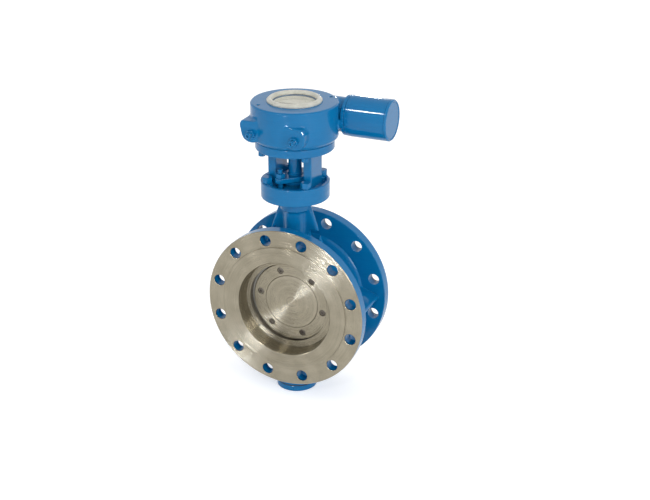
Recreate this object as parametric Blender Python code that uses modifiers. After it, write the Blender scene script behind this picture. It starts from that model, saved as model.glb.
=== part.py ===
"""A double-flanged butterfly valve with a worm gearbox, as separate working pieces.

The frame is the valve's own: Z runs up the stem from the flat underside of the
bottom cover, Y runs along the pipe with the machined inlet face towards -Y, and
the gearbox input points along +X. Lengths are in metres.
"""

from math import atan2, ceil, cos, floor, pi, radians, sin, sqrt, tan

import bmesh
import bpy
from mathutils import Matrix

# Clearances
SEAT_GAP = 0.0003  # between two pieces that rest on each other
RUNNING_GAP = 0.0003  # round a turning shaft
THREAD_GAP = 0.0003  # round a screw in its hole
SEAL_GAP = 0.0005  # between the seal ring's cone and the seat's cone

# Body: pipe side
FLOW_Z = 0.202
BORE_X = 0.004
FLANGE_MID_Y = 0.004
FACE_TO_FACE = 0.152
FLANGE_RADIUS = 0.1675
FLANGE_THICKNESS = 0.024
RAISED_FACE_RADIUS = 0.1325
RAISED_FACE_HEIGHT = 0.002
BOLT_CIRCLE_RADIUS = 0.1475
BOLT_HOLE_RADIUS = 0.0115
BOLT_HOLES = 12
BORE_RADIUS = 0.100
BARREL_WALL = 0.0127
FLANGE_FILLET = 0.007
KEEL_REACH = 0.040
KEEL_HALF_HEIGHT = 0.020
KEEL_CREST = 0.003
RIB_THICKNESS = 0.009
RIB_FOOT_X = 0.075
RIB_FOOT_SINK = 0.036  # how far the rib reaches down into the barrel
RIB_TOP_DROP = 0.008  # below the flange that carries the yoke

# Seat and disc: a cone that leans, so that the disc leaves its seat at once
SEAL_RADIUS = 0.0900
SEAL_THICKNESS = 0.007
SEAL_WIDTH = 0.015
CONE_HALF_ANGLE = radians(15)
CONE_LEAN = radians(10)
SEAT_RIM = 0.0035
SEAT_WALL = 0.0105
SHOULDER_STEP = 0.005
SEAT_LENGTH = 0.0245
DISC_PLATE_THICKNESS = 0.010
DISC_PLATE_INSET = 0.004
DISC_CROWN = 0.006  # how far the back of the disc swells towards its middle
DISC_CROWN_RADIUS = 0.040
DISC_EDGE_WIDTH = 0.012
BOSS_CHAMFER = 0.0008
RETAINER_CHAMFER = 0.0015
BOSS_RADIUS = 0.0574
RETAINER_THICKNESS = 0.0072
RETAINER_INSET = 0.006
RETAINER_SCREWS = 6
RETAINER_SCREW_CIRCLE = 0.0690
RETAINER_SCREW_START = radians(-10)
M8_RADIUS = 0.004
M8_HEAD_RADIUS = 0.0062
M8_HEAD_HEIGHT = 0.0045
M8_SOCKET_RADIUS = 0.0036
M8_SOCKET_DEPTH = 0.0028
HUB_WALL = 0.010
HUB_REACH = 0.070
HUB_RELIEF = 0.020
PIN_RADIUS = 0.004
PIN_REACH = 0.045

# Stem and its bushes
STEM_RADIUS = 0.015
STEM_TOP_RADIUS = 0.013
STEM_COLLAR_RADIUS = 0.0165
STEM_COLLAR_HEIGHT = 0.016
BUSH_WALL = 0.0037
BUSH_LENGTH = 0.050
BUSH_SETBACK = 0.006  # from the bore
COVER_RADIUS = 0.042
COVER_THICKNESS = 0.012
GASKET_THICKNESS = 0.0014
PAD_THICKNESS = 0.0107
COVER_SCREWS = 4
COVER_SCREW_CIRCLE = 0.031
M6_RADIUS = 0.003
M6_HEAD_RADIUS = 0.005
M6_HEAD_HEIGHT = 0.005
COVER_SCREW_LENGTH = 0.020
HEAD_RECESS = 0.001

# Neck and stuffing box
NECK_RADIUS = 0.0235
NECK_COLLAR_RADIUS = 0.0295
NECK_COLLAR_HEIGHT = 0.030
NECK_COLLAR_CHAMFER = 0.004
TOP_FLANGE_RADIUS = 0.068
TOP_FLANGE_THICKNESS = 0.017
TOP_FLANGE_Z = 0.438
PACKING_RINGS = 3
PACKING_HEIGHT = 0.008
PACKING_WIDTH = 0.0089
GLAND_NOSE = 0.027
GLAND_HEAD_RADIUS = 0.0272
GLAND_HEAD_HEIGHT = 0.006
GLAND_PLATE_THICKNESS = 0.010
GLAND_ANGLE = radians(65)
STUD_CIRCLE = 0.038
STUD_RADIUS = 0.005
STUD_DEPTH = 0.010
STUD_END = 0.008
NUT_RADIUS = 0.0092
NUT_HEIGHT = 0.009

# Yoke
YOKE_FOOT_HEIGHT = 0.0167
YOKE_FLOOR = 0.008
YOKE_RIM = 0.008
YOKE_OPENING_RADIUS = 0.0283
LEG_INNER_X = 0.0287
LEG_OUTER_X = 0.046
LEG_HALF_WIDTH = 0.0275
YOKE_HEAD_RADIUS = 0.0775
YOKE_HEAD_THICKNESS = 0.0167
YOKE_HEIGHT = 0.1004
YOKE_BOLTS = 4
YOKE_BOLT_CIRCLE = 0.057
YOKE_BOLT_RADIUS = 0.006
YOKE_BOLT_HEAD_RADIUS = 0.0105
YOKE_BOLT_HEAD_HEIGHT = 0.012
YOKE_BOLT_GRIP = 0.012

# Gearbox
HOUSING_RADIUS = 0.085
HOUSING_HEIGHT = 0.0745
HOUSING_FOOT_CHAMFER = 0.0075
HOUSING_RIM_CHAMFER = 0.0025
CAVITY_RADIUS = 0.064
ROOF_THICKNESS = 0.010
GEARBOX_BOLTS = 4
GEARBOX_BOLT_CIRCLE = 0.070
GEARBOX_BOLT_TURN = radians(5)
GEARBOX_BOLT_DEPTH = 0.016
GEARBOX_BOLT_HEAD_RADIUS = 0.0074
GEARBOX_BOLT_HEAD_HEIGHT = 0.008
WORM_Z_IN_HOUSING = 0.038
TUNNEL_RADIUS = 0.034
TUNNEL_BORE_RADIUS = 0.018
TUNNEL_NEAR_X = 0.083
TUNNEL_FAR_X = -0.052

# Worm pair
MODULE = 0.0025
WHEEL_TEETH = 40
WORM_PITCH_RADIUS = 0.014
ADDENDUM = 0.0022
DEDENDUM = 0.0030
TOOTH_THICKNESS = 0.0033
PRESSURE_ANGLE = radians(20)
FACE_WIDTH = 0.014
TOOTHED_FROM = radians(-20)
TOOTHED_TO = radians(110)
WORM_LENGTH = 0.040
WORM_SHAFT_RADIUS = 0.009
WORM_FAR_END_X = -0.040
WORM_PHASE = radians(90)
BEARING_LENGTH = 0.012
BEARING_FAR_X = -0.037
BEARING_NEAR_X = 0.030
PLUG_THICKNESS = 0.006
WHEEL_HUB_RADIUS = 0.026
WHEEL_HUB_TOP = 0.021
QUADRANT_RADIUS = 0.061
QUADRANT_TOP = -0.017
QUADRANT_THICKNESS = 0.0105
KEY_WIDTH = 0.008
KEY_HEIGHT = 0.007
KEY_LENGTH = 0.036

# Stop screws
STOP_CLOSED_X = 0.0365
STOP_OPEN_X = -0.057
STOP_Z = -0.0155
STOP_PAD_RADIUS = 0.0215
STOP_PAD_Z = -0.0115
STOP_CLOSED_PAD_Y = -0.084
STOP_OPEN_PAD_Y = -0.074
STOP_RADIUS = 0.005
STOP_END = 0.016
LOCKNUT_HEIGHT = 0.006

# Indicator
BEZEL_RADIUS = 0.0534
BEZEL_OPENING = 0.038
BEZEL_HEIGHT = 0.0065
WINDOW_RADIUS = 0.0452
WINDOW_THICKNESS = 0.003
WINDOW_LEDGE = 0.003
INDICATOR_RADIUS = 0.040
INDICATOR_THICKNESS = 0.002
POINTER_HEIGHT = 0.0015

# Input lock
LOCK_FLANGE_RADIUS = 0.0395
LOCK_FLANGE_THICKNESS = 0.007
LOCK_RADIUS = 0.0405
LOCK_END_X = 0.171
LOCK_WALL = 0.0075
LOCK_BACK = 0.010
SHAFT_CLEARANCE = 0.002
LID_THICKNESS = 0.0052
LID_SPIGOT = 0.004
COUPLING_RADIUS = 0.020
COUPLING_LENGTH = 0.050
COUPLING_GRIP = 0.020
SOCKET_SIZE = 0.017
SOCKET_DEPTH = 0.026

# Roundness
FINE = 56
MEDIUM = 32
COARSE = 20
SMALL = 10
THREAD_STEPS = 12  # round each turn of the worm

# Heights and places worked out from the sizes above
FRONT_Y = FLANGE_MID_Y - FACE_TO_FACE / 2
BACK_Y = FLANGE_MID_Y + FACE_TO_FACE / 2
SEAL_BACK_Y = -STEM_RADIUS - SEAT_RIM + SEAT_GAP
SEAL_FRONT_Y = SEAL_BACK_Y - SEAL_THICKNESS
SEAL_MID_Y = (SEAL_FRONT_Y + SEAL_BACK_Y) / 2
SEAT_BACK_Y = -STEM_RADIUS - 2 * SEAT_GAP
SEAT_FRONT_Y = SEAT_BACK_Y - SEAT_LENGTH
SEAT_RADIUS = SEAL_RADIUS + SEAL_GAP + SEAT_WALL
REAR_BORE_RADIUS = SEAT_RADIUS + SEAT_GAP
SHOULDER_RADIUS = REAR_BORE_RADIUS - SHOULDER_STEP
BARREL_RADIUS = REAR_BORE_RADIUS + BARREL_WALL
PLATE_FRONT_Y = SEAL_BACK_Y + SEAT_GAP
RETAINER_BACK_Y = SEAL_FRONT_Y - SEAT_GAP
RETAINER_FRONT_Y = RETAINER_BACK_Y - RETAINER_THICKNESS
PLATE_RADIUS = SEAL_RADIUS - DISC_PLATE_INSET
RETAINER_RADIUS = SEAL_RADIUS - RETAINER_INSET
SPIGOT_RADIUS = SEAL_RADIUS - SEAL_WIDTH
HUB_RADIUS = STEM_RADIUS + HUB_WALL
STEM_HOLE_RADIUS = STEM_RADIUS + RUNNING_GAP
BUSH_RADIUS = STEM_HOLE_RADIUS + BUSH_WALL
BUSH_BORE_RADIUS = BUSH_RADIUS + SEAT_GAP
GASKET_Z = COVER_THICKNESS + SEAT_GAP
BOSS_Z = GASKET_Z + GASKET_THICKNESS + SEAT_GAP
PAD_Z = COVER_THICKNESS + SEAT_GAP
STEM_BOTTOM_Z = PAD_Z + PAD_THICKNESS + SEAT_GAP
LOWER_BUSH_TOP_Z = FLOW_Z - REAR_BORE_RADIUS - BUSH_SETBACK
UPPER_BUSH_Z = FLOW_Z + REAR_BORE_RADIUS + BUSH_SETBACK
PACKING_RADIUS = STEM_HOLE_RADIUS + PACKING_WIDTH
CHAMBER_RADIUS = PACKING_RADIUS + SEAT_GAP
CHAMBER_Z = TOP_FLANGE_Z - 0.040
PACKING_STEP = PACKING_HEIGHT + SEAT_GAP
GLAND_Z = CHAMBER_Z + SEAT_GAP + PACKING_RINGS * PACKING_STEP
GLAND_HEAD_Z = GLAND_Z + GLAND_NOSE
GLAND_PLATE_Z = GLAND_HEAD_Z + GLAND_HEAD_HEIGHT + SEAT_GAP
NUT_Z = GLAND_PLATE_Z + GLAND_PLATE_THICKNESS + SEAT_GAP
YOKE_Z = TOP_FLANGE_Z + SEAT_GAP
YOKE_FOOT_Z = YOKE_Z + YOKE_FOOT_HEIGHT
YOKE_TOP_Z = YOKE_Z + YOKE_HEIGHT
YOKE_HEAD_Z = YOKE_TOP_Z - YOKE_HEAD_THICKNESS
HOUSING_Z = YOKE_TOP_Z + SEAT_GAP
HOUSING_TOP_Z = HOUSING_Z + HOUSING_HEIGHT
ROOF_Z = HOUSING_TOP_Z - ROOF_THICKNESS
WORM_Z = HOUSING_Z + WORM_Z_IN_HOUSING
WHEEL_PITCH_RADIUS = MODULE * WHEEL_TEETH / 2
WORM_Y = WHEEL_PITCH_RADIUS + WORM_PITCH_RADIUS
WORM_LEAD = pi * MODULE
LEAD_ANGLE = atan2(WORM_LEAD, 2 * pi * WORM_PITCH_RADIUS)
WINDOW_HOLE_RADIUS = WINDOW_RADIUS + SEAT_GAP
WINDOW_Z = HOUSING_TOP_Z - WINDOW_THICKNESS - SEAT_GAP
SIGHT_RADIUS = WINDOW_HOLE_RADIUS - WINDOW_LEDGE
STEM_TOP_Z = ROOF_Z - 0.001
INDICATOR_Z = STEM_TOP_Z + SEAT_GAP
LOCK_FLANGE_X = TUNNEL_NEAR_X + SEAT_GAP
LOCK_X = LOCK_FLANGE_X + LOCK_FLANGE_THICKNESS + SEAT_GAP
LOCK_BORE_RADIUS = LOCK_RADIUS - LOCK_WALL
LOCK_FLOOR_X = LOCK_X + LOCK_BACK
SHAFT_HOLE_RADIUS = WORM_SHAFT_RADIUS + SHAFT_CLEARANCE
COUPLING_NEAR_X = LOCK_FLOOR_X + 0.002
COUPLING_FAR_X = COUPLING_NEAR_X + COUPLING_LENGTH
SHAFT_END_X = COUPLING_NEAR_X + COUPLING_GRIP - SEAT_GAP
CUT = 0.002  # how far a cutter runs past the face that it leaves

PARTS = "butterfly_valve"
CUTTERS = "cutters"
AXIS_TURN = {"X": (0, pi / 2, 0), "Y": (-pi / 2, 0, 0), "Z": (0, 0, 0)}


def clear_scene():
    """Remove whatever the scene holds and make the two collections."""
    for obj in list(bpy.data.objects):
        bpy.data.objects.remove(obj, do_unlink=True)
    for name in (PARTS, CUTTERS):
        collection = bpy.data.collections.new(name)
        bpy.context.scene.collection.children.link(collection)


def finish(name, colour, metallic, roughness, alpha=1.0):
    """Return a plain Principled material."""
    material = bpy.data.materials.new(name)
    material.use_nodes = True
    shader = material.node_tree.nodes["Principled BSDF"]
    shader.inputs["Base Color"].default_value = (*colour, 1)
    shader.inputs["Metallic"].default_value = metallic
    shader.inputs["Roughness"].default_value = roughness
    shader.inputs["Alpha"].default_value = alpha
    material.diffuse_color = (*colour, alpha)
    return material


def make_finishes():
    """Return every material that the valve is made of, by name."""
    return {
        "enamel": finish("blue_enamel", (0.018, 0.175, 0.435), 0.0, 0.28),
        "stainless": finish("turned_stainless", (0.52, 0.50, 0.45), 1.0, 0.32),
        "steel": finish("bright_steel", (0.42, 0.42, 0.41), 1.0, 0.38),
        "graphite": finish("graphite", (0.05, 0.05, 0.055), 0.2, 0.6),
        "laminate": finish("steel_graphite_laminate", (0.16, 0.16, 0.16), 0.7, 0.45),
        "bronze": finish("bearing_bronze", (0.50, 0.30, 0.12), 1.0, 0.4),
        "iron": finish("ductile_iron", (0.14, 0.14, 0.14), 0.7, 0.5),
        "cream": finish("cream_bezel", (0.60, 0.58, 0.50), 0.0, 0.35),
        "glass": finish("sight_glass", (0.80, 0.82, 0.78), 0.0, 0.1, 0.35),
    }


def place(obj, name, collection, material=None):
    """Name an object and move it into one of the two collections."""
    obj.name = name
    obj.data.name = name
    for held in list(obj.users_collection):
        held.objects.unlink(obj)
    bpy.data.collections[collection].objects.link(obj)
    if collection == CUTTERS:
        obj.hide_render = True
        obj.display_type = "WIRE"
    if material:
        obj.data.materials.clear()
        obj.data.materials.append(material)
    return obj


def mesh_object(name, mesh):
    """Wrap a mesh in an object that the scene holds."""
    obj = bpy.data.objects.new(name, mesh)
    bpy.context.scene.collection.objects.link(obj)
    return obj


def turned(name, profile, axis="Z", at=(0, 0, 0), steps=MEDIUM):
    """Turn a profile of (radius, height) points about an axis.

    The points run down the outer side, and a profile that doesn't begin on the
    axis closes on itself.
    """
    mesh = bpy.data.meshes.new(name)
    ring = profile[0][0] > 0
    count = len(profile)
    edges = [(i, i + 1) for i in range(count - 1)]
    if ring:
        edges.append((count - 1, 0))
    mesh.from_pydata([(r, 0, h) for r, h in profile], edges, [])
    obj = mesh_object(name, mesh)
    screw = obj.modifiers.new("Turn", "SCREW")
    screw.axis = "Z"
    screw.steps = steps
    screw.render_steps = steps
    screw.use_merge_vertices = True
    screw.merge_threshold = 0.00001
    obj.location = at
    obj.rotation_euler = AXIS_TURN[axis]
    return obj


def tube(name, inner, outer, start, end, axis="Z", at=(0, 0), steps=MEDIUM):
    """Return a plain ring or, with no inner radius, a plain rod, between two heights."""
    centre = along(axis, at)
    if inner > 0:
        profile = [(inner, end), (outer, end), (outer, start), (inner, start)]
        return turned(name, profile, axis, centre, steps)
    return rod(name, outer, start, end, axis, at, steps)


def along(axis, at, height=0.0):
    """Return the point at a height along an axis that crosses the other two at `at`."""
    if axis == "X":
        return (height, at[0], at[1])
    if axis == "Y":
        return (at[0], height, at[1])
    return (at[0], at[1], height)


def rod(name, radius, start, end, axis="Z", at=(0, 0), steps=MEDIUM, turn=0.0):
    """Return a cylinder, or a hexagon where steps is 6, between two heights."""
    bpy.ops.mesh.primitive_cylinder_add(
        vertices=steps, radius=radius, depth=end - start
    )
    obj = bpy.context.object
    obj.data.transform(Matrix.Rotation(turn, 4, "Z"))
    obj.location = along(axis, at, (start + end) / 2)
    obj.rotation_euler = AXIS_TURN[axis]
    obj.name = name
    return obj


def block(name, low, high):
    """Return a box between two corners."""
    bpy.ops.mesh.primitive_cube_add(size=1)
    obj = bpy.context.object
    size = [b - a for a, b in zip(low, high)]
    obj.data.transform(Matrix.Diagonal((*size, 1)))
    obj.location = [(a + b) / 2 for a, b in zip(low, high)]
    obj.name = name
    return obj


def plate(name, outline, low, high, axis="Z"):
    """Extrude a flat outline between two heights along Z or Y, as a mesh."""
    curve = bpy.data.curves.new(name, "CURVE")
    curve.dimensions = "2D"
    curve.fill_mode = "BOTH"
    curve.extrude = (high - low) / 2
    spline = curve.splines.new("POLY")
    spline.points.add(len(outline) - 1)
    for point, (u, v) in zip(spline.points, outline):
        point.co = (u, v, 0, 1)
    spline.use_cyclic_u = True
    drawn = bpy.data.objects.new(name, curve)
    bpy.context.scene.collection.objects.link(drawn)
    if axis == "Y":
        drawn.location = (0, (low + high) / 2, 0)
        drawn.rotation_euler = (pi / 2, 0, 0)
    else:
        drawn.location = (0, 0, (low + high) / 2)
    bpy.context.view_layer.update()
    graph = bpy.context.evaluated_depsgraph_get()
    mesh = bpy.data.meshes.new_from_object(drawn.evaluated_get(graph))
    shape = bmesh.new()
    shape.from_mesh(mesh)
    bmesh.ops.remove_doubles(shape, verts=shape.verts, dist=0.00001)
    bmesh.ops.recalc_face_normals(shape, faces=shape.faces)
    bmesh.ops.triangulate(shape, faces=shape.faces)
    shape.to_mesh(mesh)
    shape.free()
    obj = mesh_object(name, mesh)
    obj.matrix_world = drawn.matrix_world
    bpy.data.objects.remove(drawn, do_unlink=True)
    bpy.data.curves.remove(curve)
    return obj


def combine(target, other, operation):
    """Add a Boolean and put its operand with the cutters."""
    place(other, other.name, CUTTERS)
    boolean = target.modifiers.new(other.name, "BOOLEAN")
    boolean.operation = operation
    boolean.object = other
    boolean.solver = "EXACT"


def join(target, *others):
    """Weld shapes onto a piece."""
    for other in others:
        combine(target, other, "UNION")


def cut(target, *others):
    """Cut shapes out of a piece."""
    for other in others:
        combine(target, other, "DIFFERENCE")


def piece(obj, name, material):
    """Make an object one of the valve's pieces."""
    return place(obj, name, PARTS, material)


def arc(centre, radius, start, end, count):
    """Return points on an arc in a profile's plane."""
    step = (end - start) / count
    turns = [start + step * i for i in range(count + 1)]
    return [(centre[0] + radius * cos(t), centre[1] + radius * sin(t)) for t in turns]


def spread(count, circle, start=0.0):
    """Return evenly spaced (x, y) places on a circle."""
    turns = [start + 2 * pi * i / count for i in range(count)]
    return [(circle * cos(t), circle * sin(t)) for t in turns]


def screw_in(name, material, at, head, shank, hexagon, turn=0.0):
    """Return a cap screw or bolt along Z.

    head and shank are (radius, low, high), and the two spans touch.
    """
    steps = 6 if hexagon else SMALL
    obj = rod(name, head[0], head[1], head[2], at=at, steps=steps, turn=turn)
    low = min(shank[1], shank[2])
    high = max(shank[1], shank[2])
    join(obj, rod(name + "_shank", shank[0], low, high, at=at, steps=SMALL))
    return piece(obj, name, material)


def flange_profile():
    """Return the outline of the barrel with its two flanges, before it is bored."""
    fillet = FLANGE_FILLET
    back_inner = BACK_Y - FLANGE_THICKNESS
    front_inner = FRONT_Y + FLANGE_THICKNESS
    corner = BARREL_RADIUS + fillet
    profile = [
        (0, BACK_Y),
        (RAISED_FACE_RADIUS, BACK_Y),
        (RAISED_FACE_RADIUS, BACK_Y - RAISED_FACE_HEIGHT),
        (FLANGE_RADIUS, BACK_Y - RAISED_FACE_HEIGHT),
        (FLANGE_RADIUS, back_inner),
    ]
    profile += arc((corner, back_inner - fillet), fillet, pi / 2, pi, 3)
    profile += arc((corner, front_inner + fillet), fillet, pi, 3 * pi / 2, 3)
    profile += [
        (FLANGE_RADIUS, front_inner),
        (FLANGE_RADIUS, FRONT_Y + RAISED_FACE_HEIGHT),
        (RAISED_FACE_RADIUS, FRONT_Y + RAISED_FACE_HEIGHT),
        (RAISED_FACE_RADIUS, FRONT_Y),
        (0, FRONT_Y),
    ]
    return profile


def bore_profile():
    """Return the pipe bore: a tapered mouth, the seat's shoulder and the rear bore."""
    shoulder_y = SEAT_FRONT_Y - SEAT_GAP
    return [
        (0, BACK_Y + CUT),
        (REAR_BORE_RADIUS, BACK_Y + CUT),
        (REAR_BORE_RADIUS, shoulder_y),
        (SHOULDER_RADIUS, shoulder_y),
        (BORE_RADIUS, FRONT_Y),
        (BORE_RADIUS, FRONT_Y - CUT),
        (0, FRONT_Y - CUT),
    ]


def neck_profile():
    """Return the neck, its collar and the flange that carries the yoke."""
    collar_z = TOP_FLANGE_Z - TOP_FLANGE_THICKNESS - NECK_COLLAR_HEIGHT
    flange_z = TOP_FLANGE_Z - TOP_FLANGE_THICKNESS
    return [
        (0, TOP_FLANGE_Z),
        (TOP_FLANGE_RADIUS, TOP_FLANGE_Z),
        (TOP_FLANGE_RADIUS, flange_z),
        (NECK_COLLAR_RADIUS, flange_z),
        (NECK_COLLAR_RADIUS, collar_z + NECK_COLLAR_CHAMFER),
        (NECK_COLLAR_RADIUS - NECK_COLLAR_CHAMFER, collar_z),
        (NECK_RADIUS, collar_z),
        (NECK_RADIUS, FLOW_Z + BORE_RADIUS),
        (0, FLOW_Z + BORE_RADIUS),
    ]


def keel(name):
    """Return the wedge-shaped rib that runs between the flanges on both sides."""
    reach = BARREL_RADIUS + KEEL_REACH
    outline = [
        (BORE_X + reach, FLOW_Z + KEEL_CREST),
        (BORE_X + BARREL_RADIUS - 0.004, FLOW_Z + KEEL_HALF_HEIGHT),
        (BORE_X - BARREL_RADIUS + 0.004, FLOW_Z + KEEL_HALF_HEIGHT),
        (BORE_X - reach, FLOW_Z + KEEL_CREST),
        (BORE_X - reach, FLOW_Z - KEEL_CREST),
        (BORE_X - BARREL_RADIUS + 0.004, FLOW_Z - KEEL_HALF_HEIGHT),
        (BORE_X + BARREL_RADIUS - 0.004, FLOW_Z - KEEL_HALF_HEIGHT),
        (BORE_X + reach, FLOW_Z - KEEL_CREST),
    ]
    overlap = FLANGE_THICKNESS / 2
    return plate(name, outline, FRONT_Y + overlap, BACK_Y - overlap, "Y")


def gusset(name):
    """Return the thin rib that braces the neck on both sides."""
    top = TOP_FLANGE_Z - TOP_FLANGE_THICKNESS - RIB_TOP_DROP
    low = FLOW_Z + BARREL_RADIUS - RIB_FOOT_SINK
    outline = [
        (NECK_COLLAR_RADIUS, top),
        (-NECK_COLLAR_RADIUS, top),
        (-RIB_FOOT_X, low),
        (RIB_FOOT_X, low),
    ]
    return plate(name, outline, -RIB_THICKNESS / 2, RIB_THICKNESS / 2, "Y")


def make_body(finishes):
    """Return the casting that everything else is built on."""
    centre = (BORE_X, 0, FLOW_Z)
    body = turned("body", flange_profile(), "Y", centre, FINE)
    neck = turned("neck", neck_profile(), steps=MEDIUM)
    boss = rod("boss", COVER_RADIUS, BOSS_Z, FLOW_Z - BORE_RADIUS)
    join(body, neck, boss, keel("keel"), gusset("gusset"))
    cut(
        body,
        turned("pipe_bore", bore_profile(), "Y", centre, FINE),
        rod("stem_bore", STEM_HOLE_RADIUS, UPPER_BUSH_Z, TOP_FLANGE_Z + CUT),
        rod("bush_bore_low", BUSH_BORE_RADIUS, BOSS_Z - CUT, FLOW_Z),
        rod("bush_bore_high", BUSH_BORE_RADIUS, FLOW_Z,
            UPPER_BUSH_Z + BUSH_LENGTH + SEAT_GAP),
        rod("packing_chamber", CHAMBER_RADIUS, CHAMBER_Z, TOP_FLANGE_Z + CUT),
    )
    holes = spread(BOLT_HOLES, BOLT_CIRCLE_RADIUS, pi / BOLT_HOLES)
    for number, (x, z) in enumerate(holes):
        cut(body, rod(f"flange_hole_{number}", BOLT_HOLE_RADIUS, FRONT_Y - CUT,
                      BACK_Y + CUT, "Y", (BORE_X + x, FLOW_Z + z), SMALL))
    for number, at in enumerate(spread(COVER_SCREWS, COVER_SCREW_CIRCLE, pi / 4)):
        top = HEAD_RECESS + M6_HEAD_HEIGHT + COVER_SCREW_LENGTH + 0.002
        cut(body, rod(f"cover_thread_{number}", M6_RADIUS + THREAD_GAP,
                      BOSS_Z - CUT, top, at=at, steps=SMALL))
    for number, at in enumerate(spread(2, STUD_CIRCLE, GLAND_ANGLE)):
        cut(body, rod(f"stud_thread_{number}", STUD_RADIUS + THREAD_GAP,
                      TOP_FLANGE_Z - STUD_DEPTH - 0.001, TOP_FLANGE_Z + CUT,
                      at=at, steps=SMALL))
    for number, at in enumerate(spread(YOKE_BOLTS, YOKE_BOLT_CIRCLE, pi / 4)):
        cut(body, rod(f"yoke_thread_{number}", YOKE_BOLT_RADIUS + THREAD_GAP,
                      TOP_FLANGE_Z - YOKE_BOLT_GRIP - 0.001, TOP_FLANGE_Z + CUT,
                      at=at, steps=SMALL))
    piece(body, "body_casting", finishes["enamel"])


def seal_cone(name, clearance):
    """Return the leaning cone that the seal ring fills, grown by a clearance."""
    radius = SEAL_RADIUS + clearance
    wide = tan(CONE_HALF_ANGLE + CONE_LEAN)
    narrow = tan(CONE_HALF_ANGLE - CONE_LEAN)
    depth = 2 * radius / (wide + narrow)
    apex_x = BORE_X + radius - depth * wide
    apex_y = SEAL_MID_Y - depth
    length = depth + 2 * radius
    bpy.ops.mesh.primitive_cone_add(
        vertices=FINE, radius1=0, radius2=length * tan(CONE_HALF_ANGLE), depth=length
    )
    cone = bpy.context.object
    cone.data.transform(Matrix.Translation((0, 0, length / 2)))
    cone.location = (apex_x, apex_y, FLOW_Z)
    cone.rotation_euler = (-pi / 2, 0, -CONE_LEAN)
    cone.name = name
    return cone


def make_seat(finishes):
    """Make the seat ring that rests against the body's shoulder."""
    seat = rod("seat_ring", SEAT_RADIUS, SEAT_FRONT_Y, SEAT_BACK_Y, "Y",
               (BORE_X, FLOW_Z), FINE)
    cut(seat, seal_cone("seat_cone", SEAL_GAP))
    piece(seat, "seat_ring", finishes["stainless"])


def make_seal(finishes):
    """Make the laminated ring whose leaning edge seals in the seat."""
    seal = tube("disc_seal_ring", SPIGOT_RADIUS + SEAT_GAP, SEAL_RADIUS + 0.012,
                SEAL_FRONT_Y, SEAL_BACK_Y, "Y", (BORE_X, FLOW_Z), FINE)
    combine(seal, seal_cone("seal_cone", 0.0), "INTERSECT")
    piece(seal, "disc_seal_ring", finishes["laminate"])


def screw_places():
    """Return the (x, z) places of the retainer's screws."""
    places = spread(RETAINER_SCREWS, RETAINER_SCREW_CIRCLE, RETAINER_SCREW_START)
    return [(BORE_X + x, FLOW_Z + z) for x, z in places]


def make_disc(finishes):
    """Make the disc with its spigot, its hub and its threaded holes."""
    back = PLATE_FRONT_Y + DISC_PLATE_THICKNESS
    profile = [
        (0, back + DISC_CROWN),
        (DISC_CROWN_RADIUS, back + DISC_CROWN),
        (PLATE_RADIUS - DISC_EDGE_WIDTH, back),
        (PLATE_RADIUS, back),
        (PLATE_RADIUS, PLATE_FRONT_Y),
        (SPIGOT_RADIUS, PLATE_FRONT_Y),
        (SPIGOT_RADIUS, SEAL_FRONT_Y),
        (BOSS_RADIUS, SEAL_FRONT_Y),
        (BOSS_RADIUS, RETAINER_FRONT_Y + BOSS_CHAMFER),
        (BOSS_RADIUS - BOSS_CHAMFER, RETAINER_FRONT_Y),
        (0, RETAINER_FRONT_Y),
    ]
    disc = turned("disc", profile, "Y", (BORE_X, 0, FLOW_Z), FINE)
    join(disc, rod("hub", HUB_RADIUS, FLOW_Z - HUB_REACH, FLOW_Z + HUB_REACH,
                   steps=COARSE))
    wide = HUB_RADIUS + CUT
    relief_y = back + DISC_CROWN
    cut(disc, block("hub_relief", (-wide, relief_y, FLOW_Z - HUB_RELIEF),
                    (wide, wide, FLOW_Z + HUB_RELIEF)))
    cut(disc, rod("disc_stem_hole", STEM_HOLE_RADIUS, FLOW_Z - BORE_RADIUS,
                  FLOW_Z + BORE_RADIUS, steps=COARSE))
    for side in (-1, 1):
        cut(disc, rod(f"pin_hole_{side}", PIN_RADIUS + THREAD_GAP, -wide, wide, "X",
                      (0, FLOW_Z + side * PIN_REACH), SMALL))
    for number, at in enumerate(screw_places()):
        cut(disc, rod(f"disc_thread_{number}", M8_RADIUS + THREAD_GAP,
                      SEAL_FRONT_Y - CUT, back - 0.002, "Y", at, SMALL))
    piece(disc, "disc", finishes["stainless"])


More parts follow.
